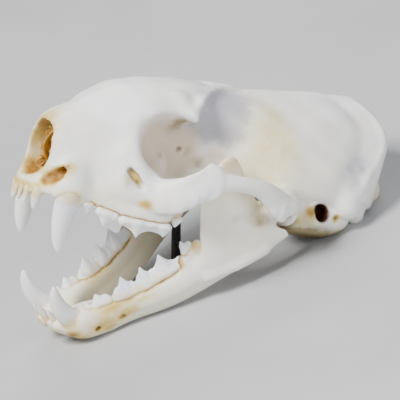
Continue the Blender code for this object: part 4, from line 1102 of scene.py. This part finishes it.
def stain_beside_teeth(piece, points, tooth_points):
    """The bell curve is worked out only for points that lie at the height of the gums."""
    tree = KDTree(len(tooth_points))
    for index, point in enumerate(tooth_points):
        tree.insert(point, index)
    tree.balance()
    _, y, z = points.T
    near = np.flatnonzero((z > GUM_SPAN[0]) & (z < GUM_SPAN[1]) & (y < GUM_BACK))
    away = np.array([tree.find(points[index])[2] for index in near])
    gum = np.zeros(len(points), np.float32)
    gum[near] = np.interp(y[near], *GUM_STRENGTH) * np.exp(-((away / GUM_WIDTH) ** 2))
    piece.data.attributes["gum"].data.foreach_set("value", gum)
    print(piece.name, (away < GUM_WIDTH).sum(), "points beside teeth")


stain_beside_teeth(cranium, cranium_points, upper_row)
for piece in bones[1:]:
    stain_beside_teeth(piece, jaw_points, lower_row)

# %% [markdown]
# ## The scrolls in the nose
# A polecat smells and warms its breath with thin scrolls of bone. From outside only their
# front edges show, as amber folds. Each is a sheet rolled up as it goes inward, given its
# thickness by a Solidify modifier, beside a thin partition in the middle.

# %% Rolled sheets and the partition. A scroll: x, y and z of its front, radius, first angle
SCROLLS = ((1.5, 5.0, 5.0, 1.05, 2.3), (1.75, 5.4, 7.6, 1.2, 2.5), (1.5, 5.8, 10.0, 1.0, 2.2))
SCROLL_TURNS = 1.6
SCROLL_DEPTH = 5.5
SCROLL_AMBER = 0.95
SCROLL_WALL = 0.16


def sheet(place, rows, columns):
    """A surface over two numbers from 0 to 1: place gives x, y and z for both."""
    both = np.meshgrid(np.linspace(0, 1, rows), np.linspace(0, 1, columns), indexing="ij")
    first = (np.arange(rows - 1)[:, None] * columns + np.arange(columns - 1)).ravel()
    faces = np.stack([first, first + 1, first + columns + 1, first + columns], axis=-1)
    return np.stack(place(*both), axis=-1).reshape(-1, 3), faces


def rolled_sheet(centre_x, start_y, centre_z, radius, lean):
    """A spiral carried back along Y: its radius shrinks with the angle, and it ripples a
    little with the depth."""

    def place(turn, depth):
        angle = 2 * np.pi * SCROLL_TURNS * turn + lean
        reach = radius * (1 - 0.75 * turn) * (1 + 0.12 * np.sin(7 * depth + 5 * turn))
        y = start_y + SCROLL_DEPTH * depth + 0.5 * np.sin(3 * angle)
        z = centre_z + 1.15 * reach * np.sin(angle) + 0.9 * depth
        return centre_x + reach * np.cos(angle), y, z

    return sheet(place, 60, 22)


def partition(rise, depth):
    """A thin wall on the midline with a slightly wavy front edge."""
    y = 4.2 + 0.25 * np.sin(9 * rise) + 1.6 * (2 * rise - 1) ** 2 + 6.0 * depth
    return 0.12 * np.sin(6 * rise + 4 * depth), y, 3.6 + 8.0 * rise + 0.7 * depth


sheets = [sheet(partition, 30, 20)]
for spec in SCROLLS:
    sheets += both_sides(*rolled_sheet(*spec))
scroll_points, scroll_faces = gather(sheets)
scroll_masks = stain_and_shade_masks(scroll_points, {})
scroll_masks["amber"] += SCROLL_AMBER
# Painted shade: the scrolls darken deeper into the nose.
scroll_masks["painted_shade"] = np.clip((scroll_points[:, 1] - 6.0) / 4.0, 0.0, 0.8)
nose_scrolls = new_piece(
    "nose_scrolls", set_down(scroll_points, CRANIUM_PITCH, CRANIUM_HINGE), scroll_faces,
    scroll_masks,
)
wall = nose_scrolls.modifiers.new("wall", "SOLIDIFY")
wall.thickness = SCROLL_WALL * MM
wall.offset = 0.0
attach(nose_scrolls, "root")

# %% [markdown]
# ## The prop
# A short dark rod holds the palate up, so that the jaws stay apart. It is a profile carried
# along a straight line, with its edges rounded off.

# %% The rod: places along it in millimetres near the top, then as shares of its length
ROD_RADIUS = 0.8
ROD_TOP = (0.0, 31.5, 0.3)
ROD_LEAN = math.radians(19.0)
ROD_EDGE = (-0.03, 0.0, 0.05, 0.12)
ROD_SHARES = (0.2, 0.5, 0.8, 1.0)
ROD_PROFILE = (0.7, 0.86, 0.95, 1.0, 1.0, 1.0, 1.0, 1.0)
ROD_BELOW = 0.4


def rod():
    """Rings along the rod's line, smaller at the top, where it is rounded, and pressed flat
    on the floor at the foot."""
    top = set_down(np.array([ROD_TOP]), CRANIUM_PITCH, CRANIUM_HINGE)[0]
    down = np.array((0.0, -math.sin(ROD_LEAN), -math.cos(ROD_LEAN)))
    length = top[2] / math.cos(ROD_LEAN) + ROD_BELOW
    place = np.concatenate([ROD_EDGE, np.array(ROD_SHARES) * length])
    radius = ROD_RADIUS * np.array(ROD_PROFILE)
    level = np.array((1.0, 0.0, 0.0))
    rings = ovals(top + place[:, None] * down, level, np.cross(down, level), radius, radius, 48)
    rings[..., 2] = np.maximum(rings[..., 2], 0.0)
    return closed_skin(rings)


prop = new_piece("prop_rod", *rod())
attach(prop, "root")
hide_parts("stand_rod")

# %% [markdown]
# ## Bone
# The colour starts from a cool ivory with two sizes of cloud in it, then takes the stains and
# the painted shade in turn, the umber shade of the holes last. A stain's edge is broken up by
# noise, as fat soaks unevenly. Fine pores and faint ripples go into the bump. Bone lets a
# little light in, so it gets some scattering.

# %% Helpers for node materials


def new_material(name):
    """A material, its node tree and its shader."""
    material = bpy.data.materials.new(name)
    material.use_nodes = True
    return material, material.node_tree, material.node_tree.nodes["Principled BSDF"]


def fill(tree, node, inputs):
    """Each input is joined to another node's output, or set to a value."""
    for socket, value in inputs.items():
        if isinstance(value, bpy.types.NodeSocket):
            tree.links.new(value, node.inputs[socket])
        else:
            node.inputs[socket].default_value = value


def wire(tree, kind, inputs, **settings):
    """A node of one kind, with its settings, and its inputs set or joined."""
    node = tree.nodes.new(kind)
    for word, value in settings.items():
        setattr(node, word, value)
    fill(tree, node, inputs)
    return node


def grain(tree, scale, detail=3.0, rough=0.55, stretch=(1.0, 1.0, 1.0)):
    """Noise on Object coordinates: scale is how many times it changes in each millimetre."""
    place = wire(tree, "ShaderNodeTexCoord", {}).outputs["Object"]
    scales = [scale / MM * part for part in stretch]
    sized = wire(tree, "ShaderNodeMapping", {"Vector": place, "Scale": scales}).outputs["Vector"]
    inputs = {"Vector": sized, "Scale": 1.0, "Detail": detail, "Roughness": rough}
    return wire(tree, "ShaderNodeTexNoise", inputs).outputs["Fac"]


print("grain of scale 1 changes", round(1 / MM), "times in each metre")

# %% Nodes for numbers and colours


def ramp(tree, value, low, high, to_low=0.0, to_high=1.0):
    """A smooth step from to_low to to_high while the value goes from low to high."""
    limits = {"From Min": low, "From Max": high, "To Min": to_low, "To Max": to_high}
    inputs = {"Value": value, **limits}
    node = wire(tree, "ShaderNodeMapRange", inputs, interpolation_type="SMOOTHSTEP")
    return node.outputs["Result"]


def product(tree, a, b):
    """Two numbers multiplied, and kept between 0 and 1."""
    node = wire(tree, "ShaderNodeMath", {0: a, 1: b}, operation="MULTIPLY", use_clamp=True)
    return node.outputs[0]


def mixed(tree, share, a, b):
    """Colour a, turning to b by a share."""
    inputs = {"Factor": share, "A": a, "B": b}
    node = wire(tree, "ShaderNodeMix", inputs, data_type="RGBA", clamp_factor=True)
    return node.outputs["Result"]


def mask(tree, word):
    """A mask that the mesh carries."""
    settings = {"attribute_name": word, "attribute_type": "GEOMETRY"}
    return wire(tree, "ShaderNodeAttribute", {}, **settings).outputs["Fac"]


def finish(tree, shader, colour, roughness, bump, more):
    """The shader's colour, roughness and bump (height, strength, millimetres), and more."""
    inputs = dict(zip(("Height", "Strength", "Distance"), (*bump[:2], bump[2] * MM)))
    normal = wire(tree, "ShaderNodeBump", inputs).outputs["Normal"]
    fill(tree, shader, {"Base Color": colour, "Roughness": roughness, "Normal": normal, **more})


def linear(red, green, blue):
    """A colour given as on a screen, from 0 to 255, as the shader wants it."""
    parts = np.array((red, green, blue)) / 255
    return (*np.where(parts < 0.04, parts / 12.92, ((parts + 0.055) / 1.055) ** 2.4), 1.0)


print("a screen's middle grey is", round(linear(128, 128, 128)[0], 3), "of white")

# %% The bone's material
IVORY = linear(238, 236, 229)
COOL_WHITE = linear(243, 243, 243)
CREAM = linear(228, 214, 156)
# Beige is partly the orbit's tint, partly painted shade in the orbit and on the lower jaw's inner
# side.
BEIGE_AND_SHADE = linear(220, 203, 184)
# Olive carries a few stains and painted shade.
OLIVE_AND_SHADE = linear(142, 126, 78)
AMBER = linear(168, 120, 44)
RUST = linear(116, 62, 18)
YELLOW = linear(216, 190, 112)
GUM = linear(140, 100, 44)
# Slate is the grey of thin bone, and painted shade in the lower jaw's muscle hollow.
SLATE_AND_SHADE = linear(176, 175, 187)
# Umber is painted shade, in holes and under the bulla.
SHADE_UMBER = linear(62, 30, 10)
JAW_WARMTH = 0.16
BONE_SCATTER = {
    "Specular IOR Level": 0.42,
    "Subsurface Weight": 0.18,
    "Subsurface Radius": (1.0, 0.72, 0.5),
    "Subsurface Scale": 0.9 * MM,
}


def bone_material(name, warm):
    """Ivory with clouds, then one stain or painted shade over the other, each a share and a
    colour.
    """
    material, tree, shader = new_material(name)
    flecks = grain(tree, 0.7, 4.0, 0.6)
    broken = ramp(tree, grain(tree, 0.35, 4.0, 0.62), 0.25, 0.75, 0.55, 1.2)
    cloudy = ramp(tree, grain(tree, 0.22), 0.3, 0.7, 0.45, 1.1)
    specks = ramp(tree, grain(tree, 0.9, 4.0, 0.7), 0.42, 0.66, 0.0, 0.9)
    patchy = ramp(tree, grain(tree, 0.5, 4.0, 0.7), 0.3, 0.62, 0.35, 1.1)
    # Slate, cream and olive hold painted shade besides their tints.
    slate_and_shade = product(tree, mask(tree, "slate_and_shade"), cloudy)
    cream_and_shade, olive_and_shade, amber = (
        product(tree, mask(tree, word), broken) for word in ("cream_and_shade", "olive_and_shade", "amber")
    )
    gum = product(tree, mask(tree, "gum"), patchy)
    colour = mixed(tree, ramp(tree, grain(tree, 0.09), 0.35, 0.65), IVORY, COOL_WHITE)
    for share, tint in (
        (ramp(tree, flecks, 0.55, 0.8, 0.0, 0.18), CREAM),
        (warm, CREAM),
        # The grey of thin bone, and painted shade in the lower jaw's muscle hollow.
        (ramp(tree, slate_and_shade, 0.2, 0.75, 0.0, 0.9), SLATE_AND_SHADE),
        # Cream stains, and painted shade on the lower jaw's inner side.
        (cream_and_shade, CREAM),
        # The orbit's beige, and painted shade in the orbit and on the lower jaw's inner side.
        (ramp(tree, mask(tree, "beige_and_shade"), 0.2, 0.9), BEIGE_AND_SHADE),
        # Olive stains, and painted shade under the bulla, in the orbit's corner and at the jaw
        # joint.
        (ramp(tree, olive_and_shade, 0.1, 0.8, 0.0, 0.9), OLIVE_AND_SHADE),
        (ramp(tree, amber, 0.04, 0.4, 0.0, 0.95), YELLOW),
        (ramp(tree, amber, 0.25, 0.8, 0.0, 0.97), AMBER),
        (product(tree, ramp(tree, amber, 0.45, 1.0), specks), RUST),
        (ramp(tree, gum, 0.02, 0.4, 0.0, 0.85), YELLOW),
        (ramp(tree, gum, 0.25, 0.8, 0.0, 0.8), GUM),
        # Painted shade, umber, in holes, deep in the nose and under the bulla.
        (ramp(tree, mask(tree, "painted_shade"), 0.25, 0.75), SHADE_UMBER),
    ):
        colour = mixed(tree, share, colour, tint)
    pores = product(tree, ramp(tree, grain(tree, 3.2, 2.0, 0.5), 0.6, 0.75), 0.3)
    ripples = grain(tree, 0.8, 3.0, 0.5, (1.0, 0.45, 1.0))
    height = wire(tree, "ShaderNodeMath", {0: ripples, 1: pores}, operation="SUBTRACT").outputs[0]
    roughness = ramp(tree, flecks, 0.3, 0.7, 0.38, 0.52)
    finish(tree, shader, colour, roughness, (height, 0.35, 0.16), BONE_SCATTER)
    return material


cranium_look = bone_material("bleached_bone", 0.0)
jaw_look = bone_material("jaw_bone_look", JAW_WARMTH)
for piece in (cranium, nose_scrolls):
    piece.data.materials.append(cranium_look)
for piece in bones[1:]:
    piece.data.materials.append(jaw_look)
print(cranium_look.name, "has", len(cranium_look.node_tree.nodes), "nodes")

# %% [markdown]
# ## Enamel
# Teeth are whiter and glossier than bone, with a bluish cloud, yellow at the neck, and
# the small front teeth are yellow nearly all over.

# %% The enamel's material
ENAMEL = linear(240, 240, 238)
ENAMEL_TIP = linear(228, 232, 240)
NECK = linear(224, 204, 156)
ENAMEL_SCATTER = {
    "Coat Weight": 0.25,
    "Coat Roughness": 0.12,
    "Subsurface Weight": 0.15,
    "Subsurface Radius": (0.8, 0.7, 0.6),
    "Subsurface Scale": 0.6 * MM,
}


def enamel_material():
    """White with a bluish cloud, yellow towards the neck and in front, with faint lines."""
    material, tree, shader = new_material("tooth_enamel_look")
    clouds = grain(tree, 0.25)
    colour = mixed(tree, ramp(tree, clouds, 0.35, 0.7), ENAMEL, ENAMEL_TIP)
    uneven = ramp(tree, grain(tree, 0.8), 0.25, 0.75, 0.6, 1.1)
    neck = product(tree, mask(tree, "neck"), uneven)
    colour = mixed(tree, ramp(tree, neck, 0.35, 1.0, 0.0, 0.75), colour, NECK)
    front = product(tree, mask(tree, "front"), ramp(tree, neck, 0.1, 0.8, 0.15, 0.9))
    colour = mixed(tree, front, colour, NECK)
    lines = grain(tree, 1.2, 2.0, 0.5, (1.6, 1.6, 0.35))
    roughness = ramp(tree, clouds, 0.3, 0.7, 0.2, 0.32)
    finish(tree, shader, colour, roughness, (lines, 0.2, 0.06), ENAMEL_SCATTER)
    return material


enamel_look = enamel_material()
for piece in teeth:
    piece.data.materials.append(enamel_look)
print(enamel_look.name, "has", len(enamel_look.node_tree.nodes), "nodes")

# %% The rod's material
STEEL_DARK = linear(38, 38, 42)
STEEL_LIGHT = linear(66, 66, 72)


def rod_material():
    """Dark brushed steel: fine scratches along the rod, uneven roughness."""
    material, tree, shader = new_material("dark_brushed_steel")
    scratches = grain(tree, 2.5, 3.0, 0.6, (1.0, 1.0, 0.08))
    colour = mixed(tree, scratches, STEEL_DARK, STEEL_LIGHT)
    roughness = ramp(tree, scratches, 0.3, 0.7, 0.28, 0.48)
    finish(tree, shader, colour, roughness, (scratches, 0.25, 0.04), {"Metallic": 1.0})
    return material


prop.data.materials.append(rod_material())
print("the rod is made of", prop.data.materials[0].name)

# %% [markdown]
# ## Floor, light and camera
# A pale floor with soft light from the upper left and a weaker one from the right keep the
# bone's modelling without hard shadows. The camera is a long lens from the front left and a
# little above, slightly rolled, as the photograph was taken.

# %% The floor
FLOOR_REACH = 1.6
FLOOR_AROUND = 96
FLOOR_RINGS = 8
FLOOR_DARK = linear(170, 171, 174)
FLOOR_LIGHT = linear(180, 181, 184)


def make_floor():
    """A round sheet: rings of points whose radius grows evenly, joined to a middle point."""
    turn = np.arange(FLOOR_AROUND)
    angle = 2 * np.pi * turn / FLOOR_AROUND
    radius = FLOOR_REACH * np.linspace(0.0, 1.0, FLOOR_RINGS + 1)[1:, None, None]
    circle = np.stack([np.cos(angle), np.sin(angle), 0 * angle], axis=-1)
    points = np.vstack([(radius * circle).reshape(-1, 3), np.zeros(3)])
    ring = np.arange(FLOOR_RINGS - 1)[:, None] * FLOOR_AROUND
    a, b = (ring + turn).ravel(), (ring + (turn + 1) % FLOOR_AROUND).ravel()
    faces = np.stack([a, a + FLOOR_AROUND, b + FLOOR_AROUND, b], axis=-1).tolist()
    faces += [[len(points) - 1, i, (i + 1) % FLOOR_AROUND] for i in range(FLOOR_AROUND)]
    mesh = bpy.data.meshes.new("floor")
    mesh.from_pydata(points.tolist(), [], faces)
    floor = bpy.data.objects.new("floor", mesh)
    bpy.context.scene.collection.objects.link(floor)
    material, tree, shader = new_material("pale_floor")
    cloth = mixed(tree, ramp(tree, grain(tree, 0.02, 4.0), 0.3, 0.7), FLOOR_DARK, FLOOR_LIGHT)
    fill(tree, shader, {"Base Color": cloth, "Roughness": 0.75})
    mesh.materials.append(material)
    return floor


make_floor()
print("the floor is", 2 * FLOOR_REACH, "m across")

# %% Lights and world: name, place, size, power, colour
LIGHTS = (
    ("key", (0.16, -0.52, 0.82), 0.36, 20.0, (1.0, 0.985, 0.96)),
    ("fill", (0.85, 0.1, 0.3), 0.5, 4.6, (0.96, 0.98, 1.0)),
    ("rear", (-0.5, 0.45, 0.6), 0.5, 4.0, (1.0, 1.0, 1.0)),
)
LIGHT_TARGET = Vector((0.0, 0.0, 0.02))
SKY = (0.86, 0.88, 0.92, 1.0)
SKY_STRENGTH = 0.2


def soft_light(name, place, size, power, colour):
    """A square area light that faces the middle of the skull."""
    lamp = bpy.data.lights.new(name, "AREA")
    lamp.size = size
    lamp.energy = power
    lamp.color = colour
    obj = bpy.data.objects.new(name, lamp)
    obj.location = place
    obj.rotation_euler = (LIGHT_TARGET - Vector(place)).to_track_quat("-Z", "Y").to_euler()
    bpy.context.scene.collection.objects.link(obj)


for light in LIGHTS:
    soft_light(*light)
world = bpy.data.worlds.new("studio")
world.use_nodes = True
sky = world.node_tree.nodes["Background"]
fill(world.node_tree, sky, {"Color": SKY, "Strength": SKY_STRENGTH})
bpy.context.scene.world = world
print(len(LIGHTS), "lights")

# %% The camera: its place and axes measured from the jaw joint, in millimetres
CAMERA_PLACE = (745.47, -327.28, 364.77)
CAMERA_BACK = (0.838396, -0.360745, 0.408603)
CAMERA_UP = (-0.24092, 0.427179, 0.871479)
CAMERA_LENS = 470.41
SENSOR_WIDTH = 36.0
CLIP = (0.01, 20.0)

back = Vector(CAMERA_BACK).normalized()
right = Vector(CAMERA_UP).cross(back).normalized()
up = back.cross(right)
camera = bpy.data.objects.new("camera", bpy.data.cameras.new("camera"))
place = (Vector(CAMERA_PLACE) + Vector((0.0, HINGE_Y, HINGE_Z))) * MM
camera.matrix_world = Matrix.Translation(place) @ Matrix((right, up, back)).transposed().to_4x4()
camera.data.sensor_width = SENSOR_WIDTH
camera.data.lens = CAMERA_LENS
camera.data.clip_start, camera.data.clip_end = CLIP
bpy.context.scene.collection.objects.link(camera)
bpy.context.scene.camera = camera
print("the camera is", round(place.length, 2), "m away")
